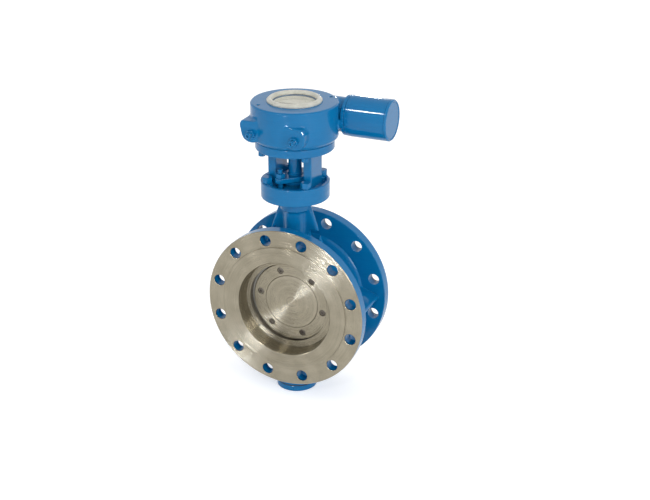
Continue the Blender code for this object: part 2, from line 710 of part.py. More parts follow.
def make_retainer(finishes):
    """Make the ring that clamps the seal and its socket screws."""
    outer, inner = RETAINER_RADIUS, BOSS_RADIUS + SEAT_GAP
    profile = [
        (inner, RETAINER_BACK_Y),
        (outer, RETAINER_BACK_Y),
        (outer, RETAINER_FRONT_Y + RETAINER_CHAMFER),
        (outer - RETAINER_CHAMFER, RETAINER_FRONT_Y),
        (inner, RETAINER_FRONT_Y),
    ]
    ring = turned("retainer", profile, "Y", (BORE_X, 0, FLOW_Z), FINE)
    head_y = RETAINER_FRONT_Y + HEAD_RECESS
    floor_y = head_y + M8_HEAD_HEIGHT + SEAT_GAP
    screw_end_y = PLATE_FRONT_Y + DISC_PLATE_THICKNESS - 0.004
    for number, at in enumerate(screw_places(), 1):
        cut(ring, rod(f"counterbore_{number}", M8_HEAD_RADIUS + THREAD_GAP,
                      RETAINER_FRONT_Y - CUT, floor_y, "Y", at, SMALL))
        cut(ring, rod(f"clearance_{number}", M8_RADIUS + THREAD_GAP,
                      RETAINER_FRONT_Y, RETAINER_BACK_Y + CUT, "Y", at, SMALL))
        name = f"retainer_screw_{number}"
        screw = rod(name, M8_HEAD_RADIUS, head_y, head_y + M8_HEAD_HEIGHT, "Y", at,
                    SMALL)
        join(screw, rod(f"screw_shank_{number}", M8_RADIUS, head_y + 0.003,
                        screw_end_y, "Y", at, SMALL))
        cut(screw, rod(f"screw_socket_{number}", M8_SOCKET_RADIUS, head_y - CUT,
                       head_y + M8_SOCKET_DEPTH, "Y", at, 6))
        piece(screw, name, finishes["steel"])
    piece(ring, "retainer_ring", finishes["stainless"])


def stem_profile():
    """Return the stem from its top end down to its foot."""
    step_z = GLAND_PLATE_Z + GLAND_PLATE_THICKNESS + 0.003
    collar_top = YOKE_HEAD_Z - SEAT_GAP
    collar_low = collar_top - STEM_COLLAR_HEIGHT
    return [
        (0, STEM_TOP_Z),
        (STEM_TOP_RADIUS, STEM_TOP_Z),
        (STEM_TOP_RADIUS, collar_top),
        (STEM_COLLAR_RADIUS, collar_top),
        (STEM_COLLAR_RADIUS, collar_low),
        (STEM_TOP_RADIUS, collar_low),
        (STEM_TOP_RADIUS, step_z),
        (STEM_RADIUS, step_z - 0.002),
        (STEM_RADIUS, STEM_BOTTOM_Z),
        (0, STEM_BOTTOM_Z),
    ]


def key_box(name, gap):
    """Return the key's box, grown by a gap, across the stem and the wheel's hub."""
    low = WORM_Z - KEY_LENGTH / 2
    half = KEY_WIDTH / 2 + gap
    inner = STEM_TOP_RADIUS - KEY_HEIGHT / 2 - gap
    outer = STEM_TOP_RADIUS + KEY_HEIGHT / 2 + gap
    return block(name, (inner, -half, low - gap), (outer, half, low + KEY_LENGTH + gap))


def make_stem(finishes):
    """Make the stem, its taper pins and the key that turns it."""
    stem = turned("stem", stem_profile(), steps=COARSE)
    for side, label in ((-1, "lower"), (1, "upper")):
        z = FLOW_Z + side * PIN_REACH
        cut(stem, rod(f"stem_pin_{label}", PIN_RADIUS + THREAD_GAP, -HUB_RADIUS,
                      HUB_RADIUS, "X", (0, z), SMALL))
        reach = HUB_RADIUS - 0.0006
        pin = rod("pin", PIN_RADIUS, -reach, reach, "X", (0, z), SMALL)
        piece(pin, f"taper_pin_{label}", finishes["steel"])
    cut(stem, key_box("stem_keyway", SEAT_GAP))
    piece(stem, "stem", finishes["stainless"])
    piece(key_box("key", 0.0), "stem_key", finishes["steel"])


def make_bearings(finishes):
    """Make the two bushes that carry the stem and the pad that it stands on."""
    low_z = LOWER_BUSH_TOP_Z - BUSH_LENGTH
    lower = tube("lower", STEM_HOLE_RADIUS, BUSH_RADIUS, low_z, LOWER_BUSH_TOP_Z,
                 steps=COARSE)
    upper = tube("upper", STEM_HOLE_RADIUS, BUSH_RADIUS, UPPER_BUSH_Z,
                 UPPER_BUSH_Z + BUSH_LENGTH, steps=COARSE)
    pad = rod("pad", BUSH_RADIUS - 0.0005, PAD_Z, PAD_Z + PAD_THICKNESS, steps=COARSE)
    piece(lower, "lower_bush", finishes["bronze"])
    piece(upper, "upper_bush", finishes["bronze"])
    piece(pad, "thrust_pad", finishes["bronze"])


def make_bottom(finishes):
    """Make the bottom cover, its gasket and its recessed screws."""
    cover = rod("cover", COVER_RADIUS, 0, COVER_THICKNESS)
    gasket = tube("gasket", BUSH_BORE_RADIUS, COVER_RADIUS, GASKET_Z,
                  GASKET_Z + GASKET_THICKNESS)
    head_top = HEAD_RECESS + M6_HEAD_HEIGHT
    for number, at in enumerate(spread(COVER_SCREWS, COVER_SCREW_CIRCLE, pi / 4), 1):
        cut(cover, rod(f"cover_recess_{number}", M6_HEAD_RADIUS + THREAD_GAP, -CUT,
                       head_top + SEAT_GAP, at=at, steps=SMALL))
        cut(cover, rod(f"cover_hole_{number}", M6_RADIUS + THREAD_GAP, 0,
                       COVER_THICKNESS + CUT, at=at, steps=SMALL))
        cut(gasket, rod(f"gasket_hole_{number}", M6_RADIUS + THREAD_GAP,
                        GASKET_Z - CUT, BOSS_Z, at=at, steps=SMALL))
        screw_in(f"cover_screw_{number}", finishes["steel"], at,
                 (M6_HEAD_RADIUS, HEAD_RECESS, head_top),
                 (M6_RADIUS, HEAD_RECESS + 0.002, head_top + COVER_SCREW_LENGTH),
                 False)
    piece(cover, "bottom_cover", finishes["enamel"])
    piece(gasket, "bottom_gasket", finishes["graphite"])


def gland_outline():
    """Return the gland plate's lozenge: a round waist with two rounded ears."""
    ear = STUD_RADIUS + 0.0055
    waist = GLAND_HEAD_RADIUS - 0.002
    meet = pi / 2 - 0.35
    points = []
    for side in (0, 1):
        facing = GLAND_ANGLE + side * pi
        centre = (STUD_CIRCLE * cos(facing), STUD_CIRCLE * sin(facing))
        points += arc(centre, ear, facing - meet, facing + meet, 6)
        points += arc((0, 0), waist, facing + pi / 2 - 0.35, facing + pi / 2 + 0.35, 3)
    return points


def make_packing(finishes):
    """Make the packing rings and the gland that squeezes them."""
    for number in range(PACKING_RINGS):
        low = CHAMBER_Z + SEAT_GAP + number * PACKING_STEP
        ring = tube("ring", STEM_HOLE_RADIUS, PACKING_RADIUS, low,
                    low + PACKING_HEIGHT, steps=COARSE)
        piece(ring, f"packing_ring_{number + 1}", finishes["graphite"])
    hole = STEM_HOLE_RADIUS + 0.0002
    head_top = GLAND_HEAD_Z + GLAND_HEAD_HEIGHT
    profile = [
        (hole, head_top),
        (GLAND_HEAD_RADIUS, head_top),
        (GLAND_HEAD_RADIUS, GLAND_HEAD_Z),
        (PACKING_RADIUS, GLAND_HEAD_Z),
        (PACKING_RADIUS, GLAND_Z),
        (hole, GLAND_Z),
    ]
    piece(turned("bush", profile, steps=COARSE), "gland_bush", finishes["steel"])
    top = GLAND_PLATE_Z + GLAND_PLATE_THICKNESS
    gland = plate("gland", gland_outline(), GLAND_PLATE_Z, top)
    cut(gland, rod("gland_hole", hole, GLAND_PLATE_Z - CUT, top + CUT, steps=COARSE))
    for number, at in enumerate(spread(2, STUD_CIRCLE, GLAND_ANGLE), 1):
        cut(gland, rod(f"gland_stud_hole_{number}", STUD_RADIUS + THREAD_GAP,
                       GLAND_PLATE_Z - CUT, top + CUT, at=at, steps=SMALL))
        stud = rod("stud", STUD_RADIUS, TOP_FLANGE_Z - STUD_DEPTH,
                   NUT_Z + NUT_HEIGHT + STUD_END, at=at, steps=SMALL)
        nut = rod("nut", NUT_RADIUS, NUT_Z, NUT_Z + NUT_HEIGHT, at=at, steps=6)
        cut(nut, rod(f"nut_thread_{number}", STUD_RADIUS + THREAD_GAP, NUT_Z - CUT,
                     NUT_Z + NUT_HEIGHT + CUT, at=at, steps=SMALL))
        piece(stud, f"gland_stud_{number}", finishes["steel"])
        piece(nut, f"gland_nut_{number}", finishes["enamel"])
    piece(gland, "gland_flange", finishes["enamel"])


def make_yoke(finishes):
    """Make the yoke with its rimmed foot, two legs and head, and its bolts."""
    floor_z = YOKE_Z + YOKE_FLOOR
    rim = TOP_FLANGE_RADIUS - YOKE_RIM
    foot = [
        (0, floor_z),
        (rim, floor_z),
        (rim, YOKE_FOOT_Z),
        (TOP_FLANGE_RADIUS - 0.0015, YOKE_FOOT_Z),
        (TOP_FLANGE_RADIUS, YOKE_FOOT_Z - 0.0015),
        (TOP_FLANGE_RADIUS, YOKE_Z),
        (0, YOKE_Z),
    ]
    yoke = turned("yoke", foot, steps=MEDIUM)
    for number, (x, y) in enumerate(spread(YOKE_BOLTS, YOKE_BOLT_CIRCLE, pi / 4)):
        join(yoke, rod(f"land_{number}", TOP_FLANGE_RADIUS - YOKE_BOLT_CIRCLE - 0.0004,
                       YOKE_Z + 0.002, YOKE_FOOT_Z - 0.0004, at=(x, y), steps=SMALL))
    for side, label in ((-1, "left"), (1, "right")):
        ends = sorted((side * LEG_INNER_X, side * LEG_OUTER_X))
        join(yoke, block(f"leg_{label}", (ends[0], -LEG_HALF_WIDTH, YOKE_Z + 0.004),
                         (ends[1], LEG_HALF_WIDTH, YOKE_HEAD_Z + 0.004)))
    join(yoke, rod("head", YOKE_HEAD_RADIUS, YOKE_HEAD_Z, YOKE_TOP_Z))
    cut(yoke, rod("head_hole", STEM_TOP_RADIUS + 0.0005, YOKE_HEAD_Z - CUT,
                  YOKE_TOP_Z + CUT, steps=COARSE))
    cut(yoke, rod("gland_opening", YOKE_OPENING_RADIUS, YOKE_Z - CUT, YOKE_FOOT_Z + CUT,
                  steps=MEDIUM))
    for number, at in enumerate(spread(2, STUD_CIRCLE, GLAND_ANGLE)):
        cut(yoke, rod(f"stud_slot_{number}", STUD_RADIUS + 0.003, YOKE_Z - CUT,
                      YOKE_FOOT_Z + CUT, at=at, steps=SMALL))
    for number, at in enumerate(spread(YOKE_BOLTS, YOKE_BOLT_CIRCLE, pi / 4), 1):
        cut(yoke, rod(f"yoke_hole_{number}", YOKE_BOLT_RADIUS + THREAD_GAP,
                      YOKE_Z - CUT, YOKE_FOOT_Z + CUT, at=at, steps=SMALL))
        head_z = YOKE_FOOT_Z + SEAT_GAP
        screw_in(f"yoke_bolt_{number}", finishes["enamel"], at,
                 (YOKE_BOLT_HEAD_RADIUS, head_z, head_z + YOKE_BOLT_HEAD_HEIGHT),
                 (YOKE_BOLT_RADIUS, TOP_FLANGE_Z - YOKE_BOLT_GRIP, head_z + 0.004),
                 True, pi / 4)
    turn = GEARBOX_BOLT_TURN
    for number, at in enumerate(gearbox_bolt_places(), 1):
        cut(yoke, rod(f"gearbox_hole_{number}", M8_RADIUS + THREAD_GAP,
                      YOKE_HEAD_Z - CUT, YOKE_TOP_Z + CUT, at=at, steps=SMALL))
        head_top = YOKE_HEAD_Z - SEAT_GAP
        screw_in(f"gearbox_bolt_{number}", finishes["enamel"], at,
                 (GEARBOX_BOLT_HEAD_RADIUS, head_top - GEARBOX_BOLT_HEAD_HEIGHT,
                  head_top),
                 (M8_RADIUS, head_top - 0.004, HOUSING_Z + GEARBOX_BOLT_DEPTH),
                 True, turn)
    piece(yoke, "yoke", finishes["enamel"])


def gearbox_bolt_places():
    """Return the places of the bolts that hold the gearbox, from the front right."""
    turns = [pi / 4 + GEARBOX_BOLT_TURN, 3 * pi / 4 - GEARBOX_BOLT_TURN]
    turns += [-turn for turn in turns]
    circle = GEARBOX_BOLT_CIRCLE
    return [(circle * cos(t), circle * sin(t)) for t in turns]


def make_housing(finishes):
    """Make the gear housing: a drum, the worm's tunnel and the stop-screw pads."""
    radius = HOUSING_RADIUS
    profile = [
        (0, HOUSING_TOP_Z),
        (radius - HOUSING_RIM_CHAMFER, HOUSING_TOP_Z),
        (radius, HOUSING_TOP_Z - HOUSING_RIM_CHAMFER),
        (radius, HOUSING_Z + HOUSING_FOOT_CHAMFER),
        (radius - HOUSING_FOOT_CHAMFER, HOUSING_Z),
        (0, HOUSING_Z),
    ]
    housing = turned("housing", profile, steps=FINE)
    worm_axis = (WORM_Y, WORM_Z)
    join(housing, rod("tunnel", TUNNEL_RADIUS, TUNNEL_FAR_X, TUNNEL_NEAR_X, "X",
                      worm_axis))
    stops = ((STOP_CLOSED_X, STOP_CLOSED_PAD_Y), (STOP_OPEN_X, STOP_OPEN_PAD_Y))
    for number, (x, y) in enumerate(stops):
        inner = -sqrt(CAVITY_RADIUS**2 - (abs(x) - 0.006) ** 2) - 0.006
        join(housing, rod(f"stop_pad_{number}", STOP_PAD_RADIUS, y, inner, "Y",
                          (x, WORM_Z + STOP_PAD_Z), COARSE))
    cut(
        housing,
        rod("gear_cavity", CAVITY_RADIUS, HOUSING_Z - CUT, ROOF_Z, steps=MEDIUM),
        rod("tunnel_bore", TUNNEL_BORE_RADIUS, TUNNEL_FAR_X - CUT,
            TUNNEL_NEAR_X + CUT, "X", worm_axis, COARSE),
        rod("window_hole", WINDOW_HOLE_RADIUS, WINDOW_Z - SEAT_GAP,
            HOUSING_TOP_Z + CUT),
        rod("sight_hole", SIGHT_RADIUS, ROOF_Z - CUT, HOUSING_TOP_Z),
    )
    for number, (x, y) in enumerate(stops):
        cut(housing, rod(f"stop_thread_{number}", STOP_RADIUS + THREAD_GAP, y - CUT,
                         0, "Y", (x, WORM_Z + STOP_Z), SMALL))
    for number, at in enumerate(gearbox_bolt_places()):
        cut(housing, rod(f"bolt_thread_{number}", M8_RADIUS + THREAD_GAP,
                         HOUSING_Z - CUT, HOUSING_Z + GEARBOX_BOLT_DEPTH + 0.001,
                         at=at, steps=SMALL))
    piece(housing, "gear_housing", finishes["enamel"])


def make_stops(finishes):
    """Make the two stop screws, which meet the stop segment, and their locknuts."""
    stops = (
        ("closed", STOP_CLOSED_X, STOP_CLOSED_PAD_Y),
        ("open", STOP_OPEN_X, STOP_OPEN_PAD_Y),
    )
    for label, x, pad_y in stops:
        at = (x, WORM_Z + STOP_Z)
        nut_y = pad_y - SEAT_GAP
        screw = rod("screw", STOP_RADIUS, pad_y - STOP_END, -SEAT_GAP, "Y", at, SMALL)
        cut(screw, rod(f"stop_socket_{label}", STOP_RADIUS / 2, pad_y - STOP_END - CUT,
                       pad_y - STOP_END + 0.004, "Y", at, 6))
        nut = rod("nut", NUT_RADIUS, nut_y - LOCKNUT_HEIGHT, nut_y, "Y", at, 6)
        cut(nut, rod(f"locknut_thread_{label}", STOP_RADIUS + THREAD_GAP,
                     nut_y - LOCKNUT_HEIGHT - CUT, nut_y + CUT, "Y", at, SMALL))
        piece(screw, f"stop_screw_{label}", finishes["enamel"])
        piece(nut, f"stop_locknut_{label}", finishes["enamel"])


def wheel_outline():
    """Return the toothed sector's outline, a trapezoid for each tooth."""
    pitch = 2 * pi / WHEEL_TEETH
    root = WHEEL_PITCH_RADIUS - DEDENDUM
    tip = WHEEL_PITCH_RADIUS + ADDENDUM
    root_half = TOOTH_THICKNESS / 2 + DEDENDUM * tan(PRESSURE_ANGLE)
    tip_half = TOOTH_THICKNESS / 2 - ADDENDUM * tan(PRESSURE_ANGLE)
    points = [(0, 0), (root * cos(TOOTHED_FROM), root * sin(TOOTHED_FROM))]
    margin = 1.1 * root_half / root
    first = ceil((TOOTHED_FROM + margin - pi / 2) / pitch)
    last = floor((TOOTHED_TO - margin - pi / 2) / pitch)
    for number in range(first, last + 1):
        middle = pi / 2 + number * pitch
        for radius, half in ((root, -root_half), (tip, -tip_half), (tip, tip_half),
                             (root, root_half)):
            turn = middle + half / radius
            points.append((radius * cos(turn), radius * sin(turn)))
    points.append((root * cos(TOOTHED_TO), root * sin(TOOTHED_TO)))
    return points


def make_wheel(finishes):
    """Make the worm wheel, a toothed sector on a hub, and the segment that stops it."""
    low = WORM_Z - FACE_WIDTH / 2
    wheel = plate("wheel", wheel_outline(), low, low + FACE_WIDTH)
    twist = wheel.modifiers.new("Lead", "SIMPLE_DEFORM")
    twist.deform_method = "TWIST"
    twist.deform_axis = "Z"
    twist.angle = FACE_WIDTH * tan(LEAD_ANGLE) / WHEEL_PITCH_RADIUS
    quadrant_top = WORM_Z + QUADRANT_TOP
    join(
        wheel,
        rod("web", WHEEL_PITCH_RADIUS * 0.8, low + 0.002, low + FACE_WIDTH - 0.002),
        rod("wheel_hub", WHEEL_HUB_RADIUS, quadrant_top - QUADRANT_THICKNESS,
            WORM_Z + WHEEL_HUB_TOP, steps=COARSE),
    )
    cut(wheel, rod("wheel_bore", STEM_TOP_RADIUS + RUNNING_GAP, HOUSING_Z,
                   HOUSING_TOP_Z, steps=COARSE))
    cut(wheel, key_box("hub_keyway", SEAT_GAP))
    piece(wheel, "worm_wheel", finishes["iron"])
    outline = arc((0, 0), QUADRANT_RADIUS, 0, pi / 2, 18)
    outline += arc((0, 0), WHEEL_HUB_RADIUS + SEAT_GAP, pi / 2, 0, 18)
    segment = plate("segment", outline, quadrant_top - QUADRANT_THICKNESS, quadrant_top)
    piece(segment, "stop_segment", finishes["iron"])


def worm_thread(name):
    """Return the worm's single thread: a trapezoid swept along a helix."""
    tip_half = TOOTH_THICKNESS / 2 - ADDENDUM * tan(PRESSURE_ANGLE)
    root_half = TOOTH_THICKNESS / 2 + DEDENDUM * tan(PRESSURE_ANGLE)
    root = WORM_PITCH_RADIUS - DEDENDUM
    tip = WORM_PITCH_RADIUS + ADDENDUM
    start = -WORM_LENGTH / 2 + root_half
    turns = (WORM_LENGTH - 2 * root_half) / WORM_LEAD
    phase = WORM_PHASE + 2 * pi * start / WORM_LEAD
    shape = bmesh.new()
    section = ((root - 0.001, -root_half), (tip, -tip_half), (tip, tip_half),
               (root - 0.001, root_half))
    corners = [shape.verts.new((r, 0, start + h)) for r, h in section]
    cap = shape.faces.new(corners)
    ring = list(cap.edges)
    steps = round(THREAD_STEPS * turns)
    made = bmesh.ops.spin(
        shape, geom=ring, cent=(0, 0, 0), axis=(0, 0, 1), angle=2 * pi * turns,
        dvec=(0, 0, WORM_LEAD * turns / steps), steps=steps, use_duplicate=False,
    )
    end = [item for item in made["geom_last"] if isinstance(item, bmesh.types.BMEdge)]
    bmesh.ops.contextual_create(shape, geom=end)
    bmesh.ops.remove_doubles(shape, verts=shape.verts, dist=0.000001)
    bmesh.ops.recalc_face_normals(shape, faces=shape.faces)
    bmesh.ops.rotate(shape, verts=shape.verts, matrix=Matrix.Rotation(phase, 3, "Z"))
    mesh = bpy.data.meshes.new(name)
    shape.to_mesh(mesh)
    shape.free()
    thread = mesh_object(name, mesh)
    thread.location = (0, WORM_Y, WORM_Z)
    thread.rotation_euler = AXIS_TURN["X"]
    return thread


def make_worm(finishes):
    """Make the worm with its shaft, its bearings and the tunnel's end plug."""
    axis = (WORM_Y, WORM_Z)
    root = WORM_PITCH_RADIUS - DEDENDUM
    half = WORM_LENGTH / 2
    profile = [
        (0, SHAFT_END_X),
        (WORM_SHAFT_RADIUS, SHAFT_END_X),
        (WORM_SHAFT_RADIUS, half + 0.002),
        (root, half),
        (root, -half),
        (WORM_SHAFT_RADIUS, -half - 0.002),
        (WORM_SHAFT_RADIUS, WORM_FAR_END_X),
        (0, WORM_FAR_END_X),
    ]
    worm = turned("worm", profile, "X", along("X", axis), COARSE)
    join(worm, worm_thread("worm_thread"))
    piece(worm, "worm_shaft", finishes["steel"])
    outer = TUNNEL_BORE_RADIUS - SEAT_GAP
    for label, x in (("far", BEARING_FAR_X), ("near", BEARING_NEAR_X)):
        ring = tube("bearing", WORM_SHAFT_RADIUS + RUNNING_GAP, outer, x,
                    x + BEARING_LENGTH, "X", axis, COARSE)
        piece(ring, f"worm_bearing_{label}", finishes["bronze"])
    plug = rod("plug", outer, TUNNEL_FAR_X + 0.001,
               TUNNEL_FAR_X + 0.001 + PLUG_THICKNESS, "X", axis, COARSE)
    piece(plug, "tunnel_end_plug", finishes["enamel"])


def make_indicator(finishes):
    """Make the position indicator: a bezel, a window and the plate under it."""
    z = HOUSING_TOP_Z + SEAT_GAP
    top = z + BEZEL_HEIGHT
    profile = [
        (BEZEL_OPENING, top - 0.0025),
        (BEZEL_OPENING + 0.0025, top),
        (BEZEL_RADIUS - 0.003, top),
        (BEZEL_RADIUS, top - 0.003),
        (BEZEL_RADIUS, z),
        (BEZEL_OPENING, z),
    ]
    piece(turned("bezel", profile), "indicator_bezel", finishes["cream"])
    window = rod("window", WINDOW_RADIUS, WINDOW_Z, WINDOW_Z + WINDOW_THICKNESS)
    piece(window, "indicator_window", finishes["glass"])
    dial_top = INDICATOR_Z + INDICATOR_THICKNESS
    dial = rod("dial", INDICATOR_RADIUS, INDICATOR_Z, dial_top)
    reach = INDICATOR_RADIUS - 0.006
    arrow = [(reach, 0), (reach - 0.014, 0.007), (reach - 0.014, 0.0025),
             (-reach, 0.0025), (-reach, -0.0025), (reach - 0.014, -0.0025),
             (reach - 0.014, -0.007)]
    join(dial, plate("pointer", arrow, dial_top - 0.001, dial_top + POINTER_HEIGHT))
    piece(dial, "indicator_plate", finishes["cream"])


def make_lock(finishes):
    """Make the lock that hides the input: flange, body, lid and the drive coupling."""
    axis = (WORM_Y, WORM_Z)
    flange_end = LOCK_FLANGE_X + LOCK_FLANGE_THICKNESS
    flange = tube("flange", SHAFT_HOLE_RADIUS, LOCK_FLANGE_RADIUS, LOCK_FLANGE_X,
                  flange_end, "X", axis)
    piece(flange, "lock_flange", finishes["enamel"])
    profile = [
        (LOCK_BORE_RADIUS, LOCK_END_X),
        (LOCK_RADIUS - 0.001, LOCK_END_X),
        (LOCK_RADIUS, LOCK_END_X - 0.001),
        (LOCK_RADIUS, LOCK_X + 0.001),
        (LOCK_RADIUS - 0.001, LOCK_X),
        (SHAFT_HOLE_RADIUS, LOCK_X),
        (SHAFT_HOLE_RADIUS, LOCK_FLOOR_X),
        (LOCK_BORE_RADIUS, LOCK_FLOOR_X),
    ]
    body = turned("lock", profile, "X", along("X", axis))
    piece(body, "lock_body", finishes["enamel"])
    lid_x = LOCK_END_X + SEAT_GAP
    lid_end = lid_x + LID_THICKNESS
    lid_profile = [
        (0, lid_end - 0.0010),
        (LOCK_RADIUS - 0.0050, lid_end - 0.0010),
        (LOCK_RADIUS - 0.0045, lid_end),
        (LOCK_RADIUS - 0.0020, lid_end),
        (LOCK_RADIUS, lid_end - 0.0020),
        (LOCK_RADIUS, lid_x),
        (LOCK_BORE_RADIUS - 0.0006, lid_x),
        (LOCK_BORE_RADIUS - 0.0006, lid_x - LID_SPIGOT),
        (0, lid_x - LID_SPIGOT),
    ]
    piece(turned("lid", lid_profile, "X", along("X", axis)), "lock_lid",
          finishes["enamel"])
    coupling = rod("coupling", COUPLING_RADIUS, COUPLING_NEAR_X, COUPLING_FAR_X, "X",
                   axis, COARSE)
    half = SOCKET_SIZE / 2
    socket_x = COUPLING_FAR_X - SOCKET_DEPTH
    cut(coupling, block("socket", (socket_x, WORM_Y - half, WORM_Z - half),
                        (COUPLING_FAR_X + CUT, WORM_Y + half, WORM_Z + half)))
    cut(coupling, rod("coupling_bore", WORM_SHAFT_RADIUS + SEAT_GAP,
                      COUPLING_NEAR_X - CUT, COUPLING_NEAR_X + COUPLING_GRIP, "X",
                      axis, COARSE))
    piece(coupling, "input_coupling", finishes["steel"])


def main():
    """Build the valve."""
    clear_scene()
    finishes = make_finishes()
    make_body(finishes)
    make_seat(finishes)
    make_seal(finishes)
    make_disc(finishes)
    make_retainer(finishes)
    make_stem(finishes)
    make_bearings(finishes)
    make_bottom(finishes)
    make_packing(finishes)
    make_yoke(finishes)
    make_housing(finishes)
    make_stops(finishes)
    make_wheel(finishes)
    make_worm(finishes)
    make_indicator(finishes)
    make_lock(finishes)


if __name__ == "__main__":
    main()
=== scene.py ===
"""The looks of a double-flanged butterfly valve with a worm gearbox.

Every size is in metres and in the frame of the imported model: Z runs up the stem,
Y runs along the pipe with the inlet towards -Y, and the gearbox input points to +X.
"""

import logging
from dataclasses import dataclass, field
from enum import Enum
from math import cos, pi, radians, sin, tan
from typing import Any, Callable, Iterable, Sequence

import bmesh
import bpy
from mathutils import Matrix, Vector


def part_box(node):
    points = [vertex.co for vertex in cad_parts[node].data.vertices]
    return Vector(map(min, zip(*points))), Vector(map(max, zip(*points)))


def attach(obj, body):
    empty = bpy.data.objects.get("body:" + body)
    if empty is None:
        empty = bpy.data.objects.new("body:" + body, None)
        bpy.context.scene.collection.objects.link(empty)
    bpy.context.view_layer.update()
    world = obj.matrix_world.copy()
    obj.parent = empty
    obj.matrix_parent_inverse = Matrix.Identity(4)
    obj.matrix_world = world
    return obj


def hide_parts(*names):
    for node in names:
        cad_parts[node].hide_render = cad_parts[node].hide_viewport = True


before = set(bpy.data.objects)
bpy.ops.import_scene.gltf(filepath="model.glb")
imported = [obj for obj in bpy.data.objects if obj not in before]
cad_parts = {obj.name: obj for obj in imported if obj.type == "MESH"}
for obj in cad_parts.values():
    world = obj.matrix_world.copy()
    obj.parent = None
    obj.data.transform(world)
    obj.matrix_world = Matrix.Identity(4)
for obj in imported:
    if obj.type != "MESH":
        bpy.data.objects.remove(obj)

log = logging.getLogger("butterfly_valve")

Colour = tuple[float, float, float]
Corner = tuple[float, ...]
Flat = tuple[float, float]
Place = tuple[float, float, float]
Piece = bpy.types.Object

PIPE_X = 0.004  # the pipe's axis stands this far to the side of the stem
PIPE_Z = 0.202
PIPE = (PIPE_X, 0.0, PIPE_Z)
WORM_Y, WORM_Z = 0.064, 0.577
WORM = (0.0, WORM_Y, WORM_Z)  # a point on the worm's axis
STEM = (0.0, 0.0, 0.0)
GLAND_CIRCLE = 0.038  # its studs stand on this radius, at this angle
GLAND_ANGLE = radians(65)
STEM_FIT = 0.0153  # radius of the holes that the stem passes
CASTING_CREASE = 38.0  # degrees at which an edge of a casting stays sharp
THREAD_CREASE = 20.0
DRILL_PAST = 0.01  # how far a cutter runs past what it cuts
WHITE = (1.0, 1.0, 1.0)


class Axis(Enum):
    """The line that a shape is turned about or drawn along."""

    X = "X"
    Y = "Y"
    Z = "Z"

    def turn(self) -> Matrix:
        """Return the rotation that takes +Z to this axis."""
        if self is Axis.X:
            return Matrix.Rotation(pi / 2, 4, "Y")
        if self is Axis.Y:
            return Matrix.Rotation(-pi / 2, 4, "X")
        return Matrix.Identity(4)

    def point(self, u: float, v: float, along: float) -> Place:
        """Return the point at (u, v) across this axis and so far along it."""
        if self is Axis.X:
            return (along, u, v)
        if self is Axis.Y:
            return (u, along, v)
        return (u, v, along)


class Join(Enum):
    """How two solids are put together."""

    ADD = "UNION"
    TAKE = "DIFFERENCE"
    KEEP = "INTERSECT"


# --------------------------------------------------------------------- shader maths


def _operator(operation: str, swapped: bool = False) -> Callable[["Signal", Any], "Signal"]:
    """Return the method of one of Python's operators on a Signal.

    Args:
        operation: the Math node's operation.
        swapped: whether the Signal stands on the operator's right.

    Returns:
        The method.
    """

    def method(self: "Signal", other: Any) -> "Signal":
        """Return the Math node of the two values."""
        return self.maths(operation, *((other, self) if swapped else (self, other)))

    return method


class Signal:
    """A shader socket that takes Python's arithmetic."""

    def __init__(self, graph: "Graph", socket: bpy.types.NodeSocket) -> None:
        """Wrap one output socket of a graph."""
        self.graph = graph
        self.socket = socket

    def maths(self, operation: str, *values: Any) -> "Signal":
        """Return the Math node of this operation on these values."""
        inputs = dict(enumerate(values))
        return self.graph.add("ShaderNodeMath", {"operation": operation}, inputs)

    __add__ = __radd__ = _operator("ADD")
    __mul__ = __rmul__ = _operator("MULTIPLY")
    __sub__ = _operator("SUBTRACT")
    __rsub__ = _operator("SUBTRACT", swapped=True)

    def wave(self) -> "Signal":
        """Return the sine of self."""
        return self.maths("SINE", self)

    def least(self, other: Any) -> "Signal":
        """Return the smaller of self and other."""
        return self.maths("MINIMUM", self, other)

    def ease(self, low: float, high: float) -> "Signal":
        """Return 0 below low, 1 above high and a smooth step between them."""
        return self.graph.add(
            "ShaderNodeMapRange",
            {"interpolation_type": "SMOOTHSTEP"},
            {"Value": self, "From Min": low, "From Max": high},
        )


